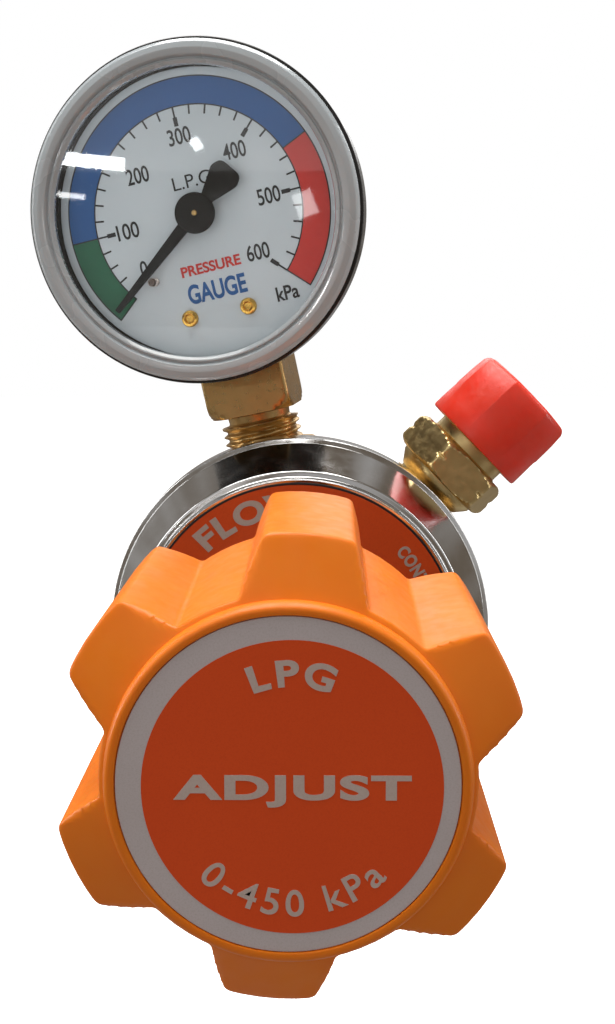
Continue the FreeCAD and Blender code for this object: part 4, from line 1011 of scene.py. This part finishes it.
# ---- floor, world and lights ----------------------------------------------------------------------
FLOOR_Z = BONNET_LOW.z * MM - 0.15
FLOOR_REACH = 3.0
floor_mesh = bpy.data.meshes.new("floor")
corners = ((-1, -1), (1, -1), (1, 1), (-1, 1))
floor_mesh.from_pydata([(x * FLOOR_REACH, y * FLOOR_REACH, FLOOR_Z) for x, y in corners],
                       [], [(0, 1, 2, 3)])
floor = bpy.data.objects.new("floor", floor_mesh)
scene.collection.objects.link(floor)
floor_look = Surface("floor_pale", srgb(250, 250, 250), 0.9)
floor_look.tint(floor_look.noise(200, 2.0), srgb(246, 246, 246), 0.4)
floor_look.set(Emission_Color=(1.0, 1.0, 1.0, 1.0), Emission_Strength=1.0)
floor_look.put(floor)
floor.visible_diffuse = False
floor.visible_glossy = False

world = bpy.data.worlds.new("studio")
scene.world = world
world.use_nodes = True
tree = world.node_tree
room = tree.nodes["Background"]
direction = tree.nodes.new("ShaderNodeTexCoord")
patches = tree.nodes.new("ShaderNodeTexNoise")
patches.inputs["Scale"].default_value = 1.7
patches.inputs["Detail"].default_value = 4.0
tones = tree.nodes.new("ShaderNodeValToRGB")
tones.color_ramp.elements[0].position, tones.color_ramp.elements[1].position = 0.42, 0.58
tones.color_ramp.elements[0].color = (0.16, 0.13, 0.10, 1.0)
tones.color_ramp.elements[1].color = (0.46, 0.45, 0.44, 1.0)
tree.links.new(direction.outputs["Generated"], patches.inputs["Vector"])
tree.links.new(patches.outputs["Fac"], tones.inputs["Fac"])
tree.links.new(tones.outputs["Color"], room.inputs["Color"])
white = tree.nodes.new("ShaderNodeBackground")
white.inputs["Color"].default_value = (1.0, 1.0, 1.0, 1.0)
path = tree.nodes.new("ShaderNodeLightPath")
blend = tree.nodes.new("ShaderNodeMixShader")
tree.links.new(path.outputs["Is Camera Ray"], blend.inputs["Fac"])
tree.links.new(room.outputs["Background"], blend.inputs[1])
tree.links.new(white.outputs["Background"], blend.inputs[2])
tree.links.new(blend.outputs["Shader"], tree.nodes["World Output"].inputs["Surface"])


def softbox(name, place, target, size, power, tone=(1.0, 1.0, 1.0)):
    """Area light at a place in metres, aimed at a target."""
    light = bpy.data.lights.new(name, "AREA")
    light.shape, light.size, light.size_y = "RECTANGLE", size[0], size[1]
    light.energy, light.color = power, tone
    lamp = bpy.data.objects.new(name, light)
    lamp.location = place
    lamp.rotation_euler = (Vector(target) - Vector(place)).to_track_quat("-Z", "Y").to_euler()
    lamp.visible_camera = False
    scene.collection.objects.link(lamp)
    return lamp


def glint(name, across, up, size, radiance, far=0.6, tilt=0):
    """Small lamp that the gauge's window mirrors to the camera at a place across and up from its middle."""
    spot = GAUGE_FRAME @ (Vector((across, 0.95, up)) * MM)
    sight = (spot - CAMERA_PLACE).normalized()
    place = spot + (sight - 2 * sight.dot(GAUGE_AXIS) * GAUGE_AXIS) * far
    lamp = softbox(name, place, spot, size, radiance * math.pi * size[0] * size[1])
    lamp.rotation_euler.rotate_axis("Z", math.radians(tilt))
    return lamp


MIDDLE = (0.0, -0.07, 0.03)
softbox("overhead", (-0.08, -0.02, 0.75), MIDDLE, (0.7, 0.6), 8.0, (1.0, 0.98, 0.95))
softbox("front_fill", (-0.35, -0.75, 0.35), MIDDLE, (0.5, 0.5), 0.4)
softbox("left_strip", (-0.6, 0.05, 0.2), MIDDLE, (0.12, 0.6), 1.6)
softbox("right_strip", (0.6, 0.0, 0.2), MIDDLE, (0.12, 0.6), 1.0)
softbox("back_rim", (0.1, 0.6, 0.4), MIDDLE, (0.6, 0.4), 1.2)
glint("glint_tube", -16.2, 11.9, (0.06, 0.008), 40.0, tilt=-6)
glint("glint_low", -20.0, 7.3, (0.03, 0.003), 14.0, tilt=-6)
glint("glint_top", 2.9, 9.9, (0.006, 0.008), 14.0, tilt=30)
glint("glint_right", 17.4, -2.6, (0.013, 0.016), 5.0, tilt=20)

scene.view_settings.view_transform = "Standard"
scene.view_settings.look = "None"
